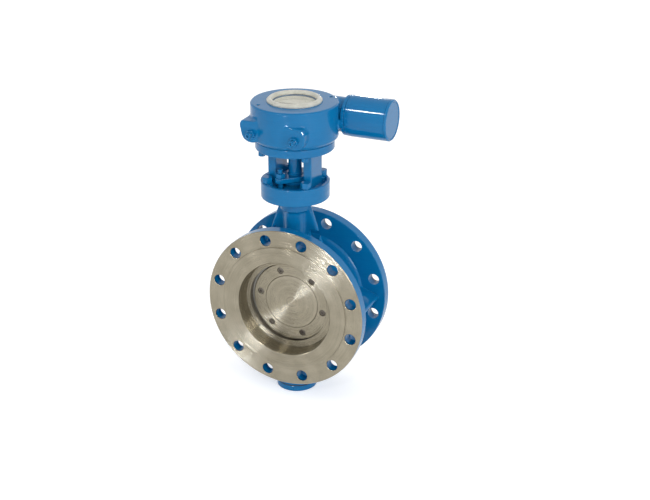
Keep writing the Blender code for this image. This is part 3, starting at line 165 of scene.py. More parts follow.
class Graph:
    """A material's node tree, built from expressions."""

    def __init__(self, name: str) -> None:
        """Start an empty material of this name."""
        self.material = bpy.data.materials.new(name)
        self.material.use_nodes = True
        self.tree = self.material.node_tree
        self.tree.nodes.clear()

    def add(
        self,
        kind: str,
        settings: dict[str, Any] | None = None,
        inputs: dict[Any, Any] | None = None,
        output: int | str = 0,
    ) -> Signal:
        """Add a node.

        Args:
            kind: the node's type.
            settings: what is set on the node itself, before its sockets.
            inputs: the value or Signal of each socket, by name or number.
            output: which output is wanted.

        Returns:
            The wanted output.
        """
        node = self.tree.nodes.new(kind)
        for name, value in (settings or {}).items():
            setattr(node, name, value)
        for key, value in (inputs or {}).items():
            socket = node.inputs[key]
            if isinstance(value, Signal):
                self.tree.links.new(value.socket, socket)
            elif isinstance(value, tuple) and len(value) == 3 and socket.type == "RGBA":
                socket.default_value = (*value, 1.0)
            else:
                socket.default_value = value
        return Signal(self, node.outputs[output])

    def place(self) -> Signal:
        """Return the point in the piece's own coordinates."""
        return self.add("ShaderNodeTexCoord", output="Object")

    def noise(self, at: Signal, scale: float, detail: float = 2.0, rough: float = 0.5) -> Signal:
        """Return soft noise from 0 to 1 at so many lumps to the metre."""
        inputs = {"Vector": at, "Scale": scale, "Detail": detail, "Roughness": rough}
        return self.add("ShaderNodeTexNoise", {}, inputs)

    def rings(self, along: Signal, scale: float, detail: float = 2.0) -> Signal:
        """Return noise from -1 to 1 that changes along one number only."""
        inputs = {"W": along, "Scale": scale, "Detail": detail, "Roughness": 0.6}
        made = self.add("ShaderNodeTexNoise", {"noise_dimensions": "1D"}, inputs)
        return (made - 0.5) * 2.0

    def blend(self, factor: Any, first: Any, second: Any) -> Signal:
        """Return a colour between two colours."""
        inputs = {0: factor, 6: first, 7: second}
        return self.add("ShaderNodeMix", {"data_type": "RGBA"}, inputs, 2)

    def vector(self, operation: str, *values: Any, output: int | str = 0) -> Signal:
        """Return a Vector Math node's result."""
        inputs = dict(enumerate(values))
        return self.add("ShaderNodeVectorMath", {"operation": operation}, inputs, output)

    def softened(self, radius: float) -> Signal:
        """Return the surface's normal with its edges rounded by this radius."""
        return self.add("ShaderNodeBevel", {"samples": 4}, {"Radius": radius})

    def bump(self, height: Signal, normal: Signal | None = None) -> Signal:
        """Return a normal from a height in metres."""
        inputs: dict[str, Any] = {"Strength": 1.0, "Distance": 1.0, "Height": height}
        if normal is not None:
            inputs["Normal"] = normal
        return self.add("ShaderNodeBump", {}, inputs)

    def finish(self, **sockets: Any) -> bpy.types.Material:
        """Close the tree with one Principled shader.

        Args:
            sockets: each socket's value by its name, with _ for a space.

        Returns:
            The finished material.
        """
        inputs = {name.replace("_", " "): value for name, value in sockets.items()}
        shader = self.add("ShaderNodeBsdfPrincipled", {}, inputs)
        self.add_output(shader)
        return self.material

    def add_output(self, shader: Signal) -> None:
        """Send a shader to the material's surface."""
        output = self.tree.nodes.new("ShaderNodeOutputMaterial")
        self.tree.links.new(shader.socket, output.inputs["Surface"])


def join(tree: bpy.types.NodeTree, links: Iterable[tuple[Any, Any, Any, Any]]) -> None:
    """Link nodes: each row is a node, its output, the next node and its input."""
    for source, output, target, socket in links:
        tree.links.new(source.outputs[output], target.inputs[socket])


# ------------------------------------------------------------------------- finishes


@dataclass(frozen=True)
class Enamel:
    """Glossy enamel, sprayed thick over a casting or a machined piece."""

    name: str
    colour: Colour = (0.002, 0.160, 0.385)
    deep: Colour = (0.001, 0.136, 0.340)
    lump: float = 0.00032  # how far the casting's skin swells under the paint
    peel: float = 0.000010  # depth of the paint's orange peel
    stroke: float = 0.000080  # depth of the brush's level strokes
    edge: float = 0.0012  # how far the paint rounds an edge
    gloss: float = 0.09

    def material(self) -> bpy.types.Material:
        """Return the material."""
        graph = Graph(self.name)
        at = graph.place()
        soft = graph.softened(self.edge)
        swell = graph.noise(at, 46.0, 3.0)
        skin = graph.noise(at, 330.0, 3.0, 0.6)
        peel = graph.noise(at, 1100.0, 2.0)
        level = graph.vector("MULTIPLY", at, (30.0, 30.0, 420.0))
        brushed = graph.noise(level, 1.0, 3.0, 0.6)
        height = swell * self.lump + skin * (self.lump * 0.10) + peel * self.peel
        height = height + brushed * self.stroke
        drift = graph.noise(at, 11.0, 4.0, 0.6).ease(0.30, 0.75)
        # Painted highlight: thin lifts every rounded edge towards a paler blue wherever the
        # softened normal parts from the true one. It also stands for paint running thin over the
        # edge.
        straight = graph.add("ShaderNodeNewGeometry", output="Normal")
        same = graph.vector("DOT_PRODUCT", soft, straight, output="Value")
        thin = (1.0 - same).ease(0.02, 0.40) * 0.35
        colour = graph.blend(drift * 0.6 + (brushed - 0.5) * 1.3, self.colour, self.deep)
        pale = tuple(min(1.0, channel * 1.25 + 0.012) for channel in self.colour)
        colour = graph.blend(thin, colour, pale)
        grime = graph.noise(at, 150.0, 5.0, 0.7).ease(0.62, 0.80)
        colour = graph.blend(grime * 0.14, colour, (0.010, 0.090, 0.240))
        return graph.finish(
            Base_Color=colour,
            Roughness=self.gloss + skin * 0.06 + grime * 0.12,
            Normal=graph.bump(height, soft),
            Specular_IOR_Level=0.26,
        )


@dataclass(frozen=True)
class TurnedSteel:
    """Bare stainless steel with the rings that a lathe leaves round an axis."""

    name: str
    axis: Axis = Axis.Y
    centre: Place = PIPE
    colour: Colour = (0.360, 0.326, 0.252)
    shade: Colour = (0.230, 0.206, 0.152)
    tilt: float = 1.30  # how far the finest rings lean the light
    waver: float = 0.09  # and the rings that the eye can see
    rough: float = 0.13
    edge: float = 0.0005

    def material(self) -> bpy.types.Material:
        """Return the material."""
        graph = Graph(self.name)
        at = graph.place()
        turned = graph.vector("SUBTRACT", at, self.centre)
        line = self.axis.turn() @ Vector((0.0, 0.0, 1.0))
        height = graph.vector("DOT_PRODUCT", turned, tuple(line), output="Value")
        across = graph.vector("CROSS_PRODUCT", tuple(line), turned)
        reach = graph.vector("LENGTH", across, output="Value")
        track = reach + height
        world = graph.add(
            "ShaderNodeVectorTransform",
            {"vector_type": "VECTOR", "convert_from": "OBJECT", "convert_to": "WORLD"},
            {0: across},
        )
        along = graph.vector("NORMALIZE", world)
        normal = graph.softened(self.edge)
        lean = graph.vector("CROSS_PRODUCT", normal, along)
        fine = graph.rings(track, 5200.0, 1.0)
        seen = graph.rings(track, 520.0, 3.0)
        broad = graph.rings(track, 70.0, 2.0)
        amount = fine * self.tilt + seen * self.waver + broad * (self.waver * 0.6)
        push = graph.vector("SCALE", lean)
        graph.tree.links.new(amount.socket, push.socket.node.inputs["Scale"])
        moved = graph.vector("NORMALIZE", graph.vector("ADD", normal, push))
        stain = graph.noise(at, 26.0, 5.0, 0.62)
        scratch = graph.rings(track, 760.0, 0.0).ease(0.42, 0.60)
        scratch = scratch * graph.noise(at, 14.0, 2.0).ease(0.46, 0.62)
        tone = (seen * 0.22 + broad * 0.18 + stain * 0.9 + scratch * 0.45).ease(0.05, 0.95)
        smear = graph.noise(at, 9.0, 3.0, 0.5).ease(0.35, 0.75)
        return graph.finish(
            Base_Color=graph.blend(tone, self.shade, self.colour),
            Metallic=1.0,
            Roughness=self.rough + stain * 0.10 + smear * 0.08,
            Normal=moved,
        )


@dataclass(frozen=True)
class PlainMetal:
    """Metal with no turned rings: bolts, bushes and rough iron."""

    name: str
    colour: Colour
    shade: Colour
    rough: float = 0.30
    grain: float = 900.0  # lumps to the metre
    depth: float = 0.000020
    metallic: float = 1.0
    edge: float = 0.0004

    def material(self) -> bpy.types.Material:
        """Return the material."""
        graph = Graph(self.name)
        at = graph.place()
        grain = graph.noise(at, self.grain, 4.0, 0.6)
        patch = graph.noise(at, 70.0, 5.0, 0.65).ease(0.30, 0.72)
        normal = graph.bump(grain * self.depth, graph.softened(self.edge))
        return graph.finish(
            Base_Color=graph.blend(patch * 0.8 + grain * 0.2, self.shade, self.colour),
            Metallic=self.metallic,
            Roughness=self.rough + grain * 0.16 + patch * 0.05,
            Normal=normal,
        )


@dataclass(frozen=True)
class Laminate:
    """Thin steel and graphite rings pressed in a stack along the pipe."""

    name: str
    layer: float = 0.0007

    def material(self) -> bpy.types.Material:
        """Return the material."""
        graph = Graph(self.name)
        at = graph.place()
        parts = graph.add("ShaderNodeSeparateXYZ", {}, {0: at}, "Y")
        stack = (parts * (pi / self.layer)).wave().ease(-0.25, 0.25)
        grain = graph.noise(at, 800.0, 3.0)
        return graph.finish(
            Base_Color=graph.blend(stack, (0.13, 0.125, 0.12), (0.44, 0.41, 0.35)),
            Metallic=stack * 0.9 + 0.05,
            Roughness=0.55 - stack * 0.22 + grain * 0.10,
            Normal=graph.bump(stack * 0.00006 + grain * 0.00001),
        )


@dataclass(frozen=True)
class Cream:
    """Cream lacquer, as on the bezel and the dial."""

    name: str
    colour: Colour = (0.66, 0.655, 0.575)
    shade: Colour = (0.50, 0.495, 0.430)

    def material(self) -> bpy.types.Material:
        """Return the material."""
        graph = Graph(self.name)
        at = graph.place()
        parts = graph.vector("MULTIPLY", at, (1.0, 1.0, 0.0))
        reach = graph.vector("LENGTH", parts, output="Value")
        ring = graph.rings(reach, 1500.0, 2.0)
        cloud = graph.noise(at, 60.0, 4.0, 0.6)
        speck = graph.noise(at, 900.0, 2.0).ease(0.70, 0.82)
        tone = (cloud + ring * 0.20).ease(0.25, 0.80)
        colour = graph.blend(tone, self.shade, self.colour)
        return graph.finish(
            Base_Color=graph.blend(speck * 0.35, colour, (0.22, 0.21, 0.18)),
            Roughness=0.24 + cloud * 0.16,
            Normal=graph.bump(ring * 0.000012 + cloud * 0.00004, graph.softened(0.0006)),
            Coat_Weight=0.15,
            Coat_Roughness=0.08,
        )


@dataclass(frozen=True)
class SightGlass:
    """The clear window over the dial, a little dusty."""

    name: str

    def material(self) -> bpy.types.Material:
        """Return the material."""
        graph = Graph(self.name)
        at = graph.place()
        dust = graph.noise(at, 120.0, 5.0, 0.7).ease(0.35, 0.85)
        return graph.finish(
            Base_Color=graph.blend(dust, (0.90, 0.90, 0.85), (0.78, 0.77, 0.70)),
            Roughness=0.04 + dust * 0.12,
            Alpha=0.16 + dust * 0.12,
            Normal=graph.bump(dust * 0.00002),
        )


class Finishes:
    """Every finish of the valve, made once and looked up by name."""

    def __init__(self) -> None:
        """Make all the materials."""
        steel = ((0.34, 0.33, 0.30), (0.19, 0.18, 0.16))
        bronze = ((0.52, 0.31, 0.12), (0.30, 0.17, 0.06))
        iron = ((0.16, 0.16, 0.16), (0.07, 0.065, 0.06))
        black = ((0.055, 0.055, 0.060), (0.025, 0.025, 0.028))
        makers = [
            Enamel("enamel_on_casting"),
            Enamel("enamel_on_machined", lump=0.00003, peel=0.000003, stroke=0.000004,
                   edge=0.0009, gloss=0.07),
            Enamel("enamel_on_fasteners", lump=0.00008, stroke=0.00001,
                   edge=0.0008, gloss=0.12),
            TurnedSteel("turned_pipe_side"),
            TurnedSteel("turned_disc", waver=0.045),
            TurnedSteel("turned_stem", Axis.Z, STEM, rough=0.16, tilt=0.12),
            TurnedSteel("turned_coupling", Axis.X, WORM, rough=0.24),
            PlainMetal("bright_steel", *steel),
            PlainMetal("screw_steel", (0.17, 0.15, 0.12), (0.06, 0.05, 0.04), rough=0.36),
            PlainMetal("bush_bronze", *bronze),
            PlainMetal("gear_iron", *iron, rough=0.42, metallic=0.8),
            PlainMetal("graphite", *black, rough=0.5, metallic=0.3),
            PlainMetal("cast_stainless", (0.42, 0.40, 0.35), (0.25, 0.235, 0.20),
                       rough=0.34, grain=520.0, depth=0.00010, edge=0.0015),
            Laminate("seal_laminate"),
            Cream("cream_lacquer"),
            Cream("dial_lacquer", (0.88, 0.87, 0.77), (0.78, 0.765, 0.66)),
            SightGlass("sight_glass"),
            PlainMetal("pointer_tan", (0.42, 0.40, 0.33), (0.30, 0.285, 0.23),
                       rough=0.4, metallic=0.0),
        ]
        self.made = {maker.name: maker.material() for maker in makers}

    def __getitem__(self, name: str) -> bpy.types.Material:
        """Return the material of this name."""
        return self.made[name]


# ------------------------------------------------------------------- shaping in mesh


def add_mesh(name: str, verts: Iterable[Place], faces: Iterable[Sequence[int]]) -> Piece:
    """Return a new object from points and faces, with its normals outwards."""
    shape = bmesh.new()
    points = [shape.verts.new(vert) for vert in verts]
    for face in faces:
        shape.faces.new([points[index] for index in face])
    bmesh.ops.recalc_face_normals(shape, faces=shape.faces)
    mesh = bpy.data.meshes.new(name)
    shape.to_mesh(mesh)
    shape.free()
    obj = bpy.data.objects.new(name, mesh)
    bpy.context.scene.collection.objects.link(obj)
    return obj


def rounded(profile: Sequence[Corner], closed: bool) -> list[Flat]:
    """Return a profile with an arc at each corner that names a radius."""
    points: list[Flat] = []
    count = len(profile)
    for index, corner in enumerate(profile):
        at = Vector(corner[:2])
        radius = corner[2] if len(corner) > 2 else 0.0
        if radius <= 0 or (index in (0, count - 1) and not closed):
            points.append((at.x, at.y))
            continue
        before = Vector(profile[index - 1][:2]) - at
        after = Vector(profile[(index + 1) % count][:2]) - at
        back = radius / tan(before.angle(after) / 2)
        back = min(back, 0.48 * before.length, 0.48 * after.length)
        start = at + before.normalized() * back
        end = at + after.normalized() * back
        steps = 5
        for step in range(steps + 1):
            t = step / steps
            made = start * (1 - t) ** 2 + at * (2 * t * (1 - t)) + end * t**2
            points.append((made.x, made.y))
    return points


def lathe(
    name: str,
    profile: Sequence[Corner],
    axis: Axis = Axis.Z,
    centre: Place = STEM,
    steps: int = 128,
    closed: bool = False,
) -> Piece:
    """Turn a profile about an axis.

    Args:
        name: the new object's name.
        profile: (radius, place along the axis[, corner radius]) of each corner.
        axis: the axis to turn about.
        centre: a point on that axis.
        steps: how many sides the turned shape has.
        closed: whether the profile is a loop clear of the axis.

    Returns:
        The turned solid.
    """
    outline = rounded(profile, closed)
    verts: list[Place] = []
    rings: list[list[int]] = []
    for radius, height in outline:
        if radius < 1e-6:
            rings.append([len(verts)] * steps)
            verts.append((0.0, 0.0, height))
            continue
        rings.append(list(range(len(verts), len(verts) + steps)))
        for step in range(steps):
            angle = 2 * pi * step / steps
            verts.append((radius * cos(angle), radius * sin(angle), height))
    pairs = list(zip(rings, rings[1:]))
    if closed:
        pairs.append((rings[-1], rings[0]))
    faces = []
    for low, high in pairs:
        for step in range(steps):
            after = (step + 1) % steps
            face = list(dict.fromkeys((low[step], low[after], high[after], high[step])))
            if len(face) > 2:
                faces.append(face)
    obj = add_mesh(name, verts, faces)
    obj.data.transform(Matrix.Translation(centre) @ axis.turn())
    return obj


def rod(
    name: str,
    radius: float,
    low: float,
    high: float,
    axis: Axis = Axis.Z,
    centre: Place = STEM,
    steps: int = 64,
    edge: float = 0.0,
) -> Piece:
    """Return a round bar along an axis, with its end corners rounded."""
    profile = [(0.0, low), (radius, low, edge), (radius, high, edge), (0.0, high)]
    return lathe(name, profile, axis, centre, steps)


def hole(radius: float, low: float, high: float, steps: int) -> Piece:
    """Return the drill for a hole right through what lies from low to high."""
    return rod("hole", radius, low - DRILL_PAST, high + DRILL_PAST, steps=steps)


def slab(
    name: str, outline: Sequence[Flat], low: float, high: float, axis: Axis = Axis.Z
) -> Piece:
    """Return a flat outline drawn along an axis from low to high."""
    count = len(outline)
    verts = [axis.point(u, v, low) for u, v in outline]
    verts += [axis.point(u, v, high) for u, v in outline]
    faces: list[Sequence[int]] = [range(count), range(count, 2 * count)]
    for index in range(count):
        after = (index + 1) % count
        faces.append((index, after, count + after, count + index))
    return add_mesh(name, verts, faces)


def oblong(low: Sequence[float], high: Sequence[float]) -> list[Flat]:
    """Return the four corners of a rectangle."""
    return [(low[0], low[1]), (high[0], low[1]), (high[0], high[1]), (low[0], high[1])]


def block(name: str, low: Place, high: Place) -> Piece:
    """Return a box between two corners."""
    return slab(name, oblong(low, high), low[2], high[2])


def arc(centre: Flat, radius: float, start: float, end: float, count: int) -> list[Flat]:
    """Return points along an arc."""
    turns = [start + (end - start) * step / count for step in range(count + 1)]
    return [(centre[0] + radius * cos(t), centre[1] + radius * sin(t)) for t in turns]


def ring_places(count: int, radius: float, start: float = 0.0) -> list[Flat]:
    """Return evenly spaced places on a circle."""
    turns = [start + 2 * pi * step / count for step in range(count)]
    return [(radius * cos(t), radius * sin(t)) for t in turns]


def settle(obj: Piece) -> Piece:
    """Make an object's modifiers part of its mesh, and drop them."""
    bpy.context.view_layer.update()
    graph = bpy.context.evaluated_depsgraph_get()
    made = bpy.data.meshes.new_from_object(obj.evaluated_get(graph))
    obj.modifiers.clear()
    obj.data = made
    return obj


def fold_in(name: str, objs: Sequence[Piece]) -> Piece:
    """Return one object that holds the shells of several, and drop those."""
    shape = bmesh.new()
    for obj in objs:
        shape.from_mesh(obj.data)
        bpy.data.objects.remove(obj, do_unlink=True)
    mesh = bpy.data.meshes.new(name)
    shape.to_mesh(mesh)
    shape.free()
    made = bpy.data.objects.new(name, mesh)
    bpy.context.scene.collection.objects.link(made)
    return made


def cast(name: str, objs: Sequence[Piece], voxel: float, passes: int) -> Piece:
    """Melt solids together as a casting, with a fillet in every corner.

    Args:
        name: the new object's name.
        objs: the solids, which overlap.
        voxel: the grain of the casting's mesh.
        passes: how often its skin is smoothed.

    Returns:
        The casting.
    """
    made = fold_in(name, objs)
    melt = made.modifiers.new("Melt", "REMESH")
    melt.mode = "VOXEL"
    melt.voxel_size = voxel
    melt.adaptivity = 0.0
    ease = made.modifiers.new("Ease", "SMOOTH")
    ease.factor = 0.5
    ease.iterations = passes
    return settle(made)


def work(obj: Piece, how: Join, *others: Piece) -> Piece:
    """Add, take or keep other solids in one Boolean after another, and drop them."""
    for number, other in enumerate(others):
        step = obj.modifiers.new(f"Step{number}", "BOOLEAN")
        step.operation = how.value
        step.solver = "MANIFOLD"
        step.object = other
    settle(obj)
    for other in others:
        bpy.data.objects.remove(other, do_unlink=True)
    return obj


def chamfer(obj: Piece, width: float, segments: int = 2, angle: float = 32.0) -> Piece:
    """Round an object's sharp edges."""
    soft = obj.modifiers.new("Soft", "BEVEL")
    soft.width = width
    soft.segments = segments
    soft.limit_method = "ANGLE"
    soft.angle_limit = radians(angle)
    soft.harden_normals = False
    return settle(obj)


class RingTree:
    """Geometry Nodes that set copies of a piece round a circle."""

    def __init__(self) -> None:
        """Build the tree once."""
        tree = bpy.data.node_groups.new("ring_of_pieces", "GeometryNodeTree")
        made = tree.interface.new_socket
        self.key = {
            name: made(name, in_out="INPUT", socket_type=f"NodeSocket{kind}").identifier
            for name, kind in (
                ("Piece", "Geometry"), ("Count", "Int"), ("Circle Radius", "Float"),
                ("Start Angle", "Float"), ("Material", "Material"),
            )
        }
        made("Set", in_out="OUTPUT", socket_type="NodeSocketGeometry")
        given, points, spot, share, turn, spin, reach, rotated, place, copies, real, dress, out = (
            tree.nodes.new(kind) for kind in (
                "NodeGroupInput", "GeometryNodeMeshLine", "GeometryNodeInputIndex",
                "ShaderNodeMath", "ShaderNodeMath", "ShaderNodeCombineXYZ",
                "ShaderNodeCombineXYZ", "ShaderNodeVectorRotate", "GeometryNodeSetPosition",
                "GeometryNodeInstanceOnPoints", "GeometryNodeRealizeInstances",
                "GeometryNodeSetMaterial", "NodeGroupOutput",
            )
        )
        share.operation = "DIVIDE"
        turn.operation = "MULTIPLY_ADD"
        turn.inputs[1].default_value = 2 * pi
        rotated.rotation_type = "EULER_XYZ"
        join(tree, (
            (given, "Count", points, "Count"), (spot, 0, share, 0),
            (given, "Count", share, 1), (share, 0, turn, 0), (given, "Start Angle", turn, 2),
            (turn, 0, spin, "Z"), (given, "Circle Radius", reach, "X"),
            (reach, 0, rotated, "Vector"), (spin, 0, rotated, "Rotation"),
            (points, 0, place, "Geometry"), (rotated, 0, place, "Position"),
            (place, 0, copies, "Points"), (given, "Piece", copies, "Instance"),
            (spin, 0, copies, "Rotation"), (copies, 0, real, 0), (real, 0, dress, "Geometry"),
            (given, "Material", dress, "Material"), (dress, 0, out, 0),
        ))
        self.tree = tree

    def spread(
        self,
        obj: Piece,
        count: int,
        radius: float,
        start: float,
        material: bpy.types.Material | None = None,
    ) -> Piece:
        """Turn one piece at the origin into a ring of them.

        Args:
            obj: the piece, which stands on the Z axis.
            count: how many there are.
            radius: the circle's radius.
            start: the first one's angle in radians.
            material: what they are made of.

        Returns:
            The same object, now with every copy in its mesh.
        """
        ring = obj.modifiers.new("Ring", "NODES")
        ring.node_group = self.tree
        ring[self.key["Count"]] = count
        ring[self.key["Circle Radius"]] = radius
        ring[self.key["Start Angle"]] = start
        if material is not None:
            ring[self.key["Material"]] = material
        return settle(obj)


def numbered(stem: str, *numbers: int) -> list[str]:
    """Return the names of a row of CAD nodes."""
    return [f"{stem}_{number}" for number in numbers]


def well(
    mouth: float, wall: float, seat: float, shank: float, depth: float, steps: int
) -> Piece:
    """Return the cutter for a socket screw's hole on the Z axis.

    Args:
        mouth: the chamfer's outer radius.
        wall: the radius round the head.
        seat: the depth that the head sits at.
        shank: the radius round the shank.
        depth: the depth of the whole hole.
        steps: how many sides it has.

    Returns:
        The cutter.
    """
    profile = [(0.0, -0.002), (mouth, -0.002), (wall, 0.0006), (wall, seat), (shank, seat),
               (shank, depth), (0.0, depth)]
    return lathe("well", profile, steps=steps)


def swing(obj: Piece, axis: Axis, centre: Place) -> Piece:
    """Take a mesh built round Z to another axis."""
    obj.data.transform(Matrix.Translation(centre) @ axis.turn())
    return obj


def hexagon(
    name: str, radius: float, low: float, high: float,
    bore: float = 0.0, washer: float = 0.0, both: bool = False,
) -> Piece:
    """Make a hexagon head or nut on the Z axis.

    Args:
        name: the new object's name.
        radius: the radius over its corners.
        low: its lower face.
        high: its upper face.
        bore: the radius of the hole through it.
        washer: how thick the round face under it is.
        both: whether both ends are chamfered, as on a nut.

    Returns:
        The head or nut.
    """
    body = slab(name, ring_places(6, radius), low, high)
    flat = radius * cos(pi / 6)
    fall = (radius - flat * 0.94) * tan(radians(30))
    under = [(flat * 0.94, low), (radius * 1.01, low + fall)]
    profile: list[Corner] = [(0.0, low)]
    profile += under if both else [(radius * 1.02, low)]
    profile += [(radius * 1.01, high - fall), (flat * 0.94, high), (0.0, high)]
    work(body, Join.KEEP, lathe("cone", profile, steps=96))
    chamfer(body, 0.00035, 2, 25.0)
    if washer:
        work(body, Join.ADD, rod("washer", flat * 0.98, low - washer, low + washer))
    if bore:
        work(body, Join.TAKE, hole(bore, low, high, 48))
    return body


def threaded(name: str, radius: float, low: float, high: float, plain: float) -> Piece:
    """Return a bar on the Z axis with thread crests from plain up to high."""
    pitch = 0.0015
    profile: list[Corner] = [(0.0, low), (radius, low)]
    height = plain
    while height + pitch < high - pitch:
        profile += [(radius, height), (radius - 0.55 * pitch, height + pitch / 2)]
        height += pitch
    profile += [(radius, height), (radius, high - 0.0012), (radius - 0.0010, high), (0.0, high)]
    return lathe(name, profile, steps=40)


def present(
    obj: Piece,
    body: str,
    slot: str,
    material: bpy.types.Material,
    *nodes: str,
    angle: float = 31.0,
) -> Piece:
    """Dress a finished piece, hang it on its body and hide the CAD nodes that it stands for.

    Args:
        obj: the piece, at the origin with its place in its mesh.
        body: the moving body that it rides on.
        slot: the name of a material slot; not used.
        material: its finish.
        nodes: the CAD nodes that it stands for.
        angle: edges sharper than this stay sharp, in degrees.

    Returns:
        The piece.
    """
    obj.data.materials.clear()
    obj.data.materials.append(material)
    obj.data.polygons.foreach_set("use_smooth", [True] * len(obj.data.polygons))
    obj.data.set_sharp_from_angle(angle=radians(angle))
    even = obj.modifiers.new("Even", "WEIGHTED_NORMAL")
    even.keep_sharp = True
    even.weight = 60
    settle(obj)
    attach(obj, body)
    if nodes:
        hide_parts(*nodes)
    log.info("%s rides on %s with %d faces", obj.name, body, len(obj.data.polygons))
    return obj


# -------------------------------------------------------------------- sub-assemblies


@dataclass
class PipeBody:
    """The painted casting and the faces that are machined bare on it."""

    finishes: Finishes
    rings: RingTree
    flange_thickness: float = 0.024
    raised_radius: float = 0.1325
    raised_height: float = 0.002
    hole_circle: float = 0.1475
    hole_radius: float = 0.0115
    holes: int = 12
    barrel_radius: float = 0.114
    mouth_radius: float = 0.100
    shoulder_radius: float = 0.0963
    rear_bore: float = 0.1013
    shoulder_y: float = -0.0404
    keel_reach: float = 0.040
    neck_radius: float = 0.0235
    collar_radius: float = 0.0295
    brace_top: float = 0.413
    brace_foot: float = 0.280
    brace_reach: float = 0.075
    top_radius: float = 0.068
    top_thickness: float = 0.017
    boss_radius: float = 0.042
    low: Vector = field(init=False)
    high: Vector = field(init=False)

    def __post_init__(self) -> None:
        """Read the casting's box from the model."""
        self.low, self.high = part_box("body_casting")
        self.radius = (self.high.x - self.low.x) / 2

    def middle(self) -> Piece:
        """Return what is cast between the flanges, up the neck and down to the boss."""
        front = self.low.y + self.flange_thickness
        back = self.high.y - self.flange_thickness
        barrel = self.barrel_radius
        end = [
            (0.0, -0.006), (barrel + 0.012, -0.006), (barrel + 0.006, -0.001, 0.004),
            (barrel + 0.0012, 0.0035, 0.004), (barrel, 0.010, 0.004),
        ]
        profile = [(radius, front + deep, *turn) for radius, deep, *turn in end]
        profile += [(radius, back - deep, *turn) for radius, deep, *turn in reversed(end)]
        reach = barrel + self.keel_reach
        near = barrel - 0.004
        quarter = ((reach, 0.003), (near, 0.020))
        keel = [(PIPE_X + right * out, PIPE_Z + up * half)
                for right, up, step in ((1, 1, 1), (-1, 1, -1), (-1, -1, 1), (1, -1, -1))
                for out, half in quarter[::step]]
        flange_z = self.high.z - self.top_thickness
        collar_z = flange_z - 0.030
        neck = [
            (0.0, flange_z + 0.006), (self.collar_radius + 0.003, flange_z + 0.006),
            (self.collar_radius, flange_z - 0.002), (self.collar_radius, collar_z + 0.004),
            (self.neck_radius, collar_z - 0.001), (self.neck_radius, PIPE_Z + 0.122),
            (self.neck_radius + 0.005, PIPE_Z + 0.110), (0.0, PIPE_Z + 0.090),
        ]
        brace = [
            (self.collar_radius, self.brace_top), (-self.collar_radius, self.brace_top),
            (-self.brace_reach, self.brace_foot), (self.brace_reach, self.brace_foot),
        ]
        return cast("body_shell", [
            lathe("barrel", profile, Axis.Y, PIPE, 192),
            slab("keel", keel, front - 0.008, back + 0.008, Axis.Y),
            lathe("neck", neck, steps=96),
            slab("brace", brace, -0.0045, 0.0045, Axis.Y),
            rod("boss", self.boss_radius - 0.0003, 0.034, PIPE_Z - 0.095, steps=96),
        ], 0.0017, 7)

    def flange(self, face: float, inner: float) -> Piece:
        """Return one painted flange, a little short of its machined face."""
        out = 1.0 if face > inner else -1.0
        profile = [
            (0.0, face - out * 0.0030),
            (self.radius - 0.0012, face - out * 0.0030),
            (self.radius, face - out * 0.0038),
            (self.radius, inner, 0.0018),
            (0.0, inner),
        ]
        return lathe("flange", profile, Axis.Y, PIPE, 224)

    def hole_cutter(self) -> Piece:
        """Return the drills for every bolt hole in both flanges."""
        front = self.low.y + self.raised_height
        back = self.high.y - self.raised_height
        wide = self.hole_radius + 0.0017
        profile = [
            (0.0, front - 0.001), (wide, front - 0.001), (self.hole_radius, front + 0.0007),
            (self.hole_radius, back - 0.0007), (wide, back + 0.001), (0.0, back + 0.001),
        ]
        drill = lathe("drill", profile, steps=48)
        self.rings.spread(drill, self.holes, self.hole_circle, pi / self.holes)
        return swing(drill, Axis.Y, PIPE)

    def build_casting(self) -> None:
        """Make the painted casting."""
        shell = self.middle()
        front = self.low.y + self.flange_thickness
        back = self.high.y - self.flange_thickness
        top = self.high.z
        under = top - self.top_thickness
        crown = [
            (0.0, top), (self.top_radius, top, 0.0004), (self.top_radius, under, 0.0030),
            (self.collar_radius - 0.004, under), (0.0, under),
        ]
        boss = rod("boss_end", self.boss_radius, self.low.z, 0.046, steps=96, edge=0.0008)
        collar = lathe("collar", [
            (0.0, under + 0.002), (self.collar_radius + 0.0004, under + 0.002),
            (self.collar_radius + 0.0004, under - 0.0255, 0.0008),
            (self.neck_radius + 0.0008, under - 0.0300), (0.0, under - 0.0300),
        ], steps=128)
        work(shell, Join.ADD, self.flange(self.low.y, front), self.flange(self.high.y, back),
             lathe("crown", crown, steps=128), boss, collar)
        bore = [
            (0.0, self.high.y + DRILL_PAST), (self.rear_bore + 0.001, self.high.y + DRILL_PAST),
            (self.rear_bore + 0.001, self.shoulder_y),
            (self.shoulder_radius + 0.001, self.shoulder_y),
            (self.mouth_radius + 0.001, self.low.y),
            (self.mouth_radius + 0.001, self.low.y - DRILL_PAST),
            (0.0, self.low.y - DRILL_PAST),
        ]
        work(shell, Join.TAKE, lathe("bore", bore, Axis.Y, PIPE, 192), self.hole_cutter(),
             rod("stem_bore", STEM_FIT, 0.005, 0.450),
             rod("low_bush", 0.0193, 0.005, 0.100), rod("high_bush", 0.0193, 0.300, 0.3597),
             rod("chamber", 0.0245, 0.398, 0.450))
        present(shell, "frame", "enamel", self.finishes["enamel_on_casting"], "body_casting",
                angle=CASTING_CREASE)

    def machined(self, name: str, profile: Sequence[Corner]) -> None:
        """Make one bare machined skin, drilled for the bolts."""
        skin = lathe(name, profile, Axis.Y, PIPE, 256, closed=True)
        work(skin, Join.TAKE, self.hole_cutter())
        present(skin, "frame", "stainless", self.finishes["turned_pipe_side"])

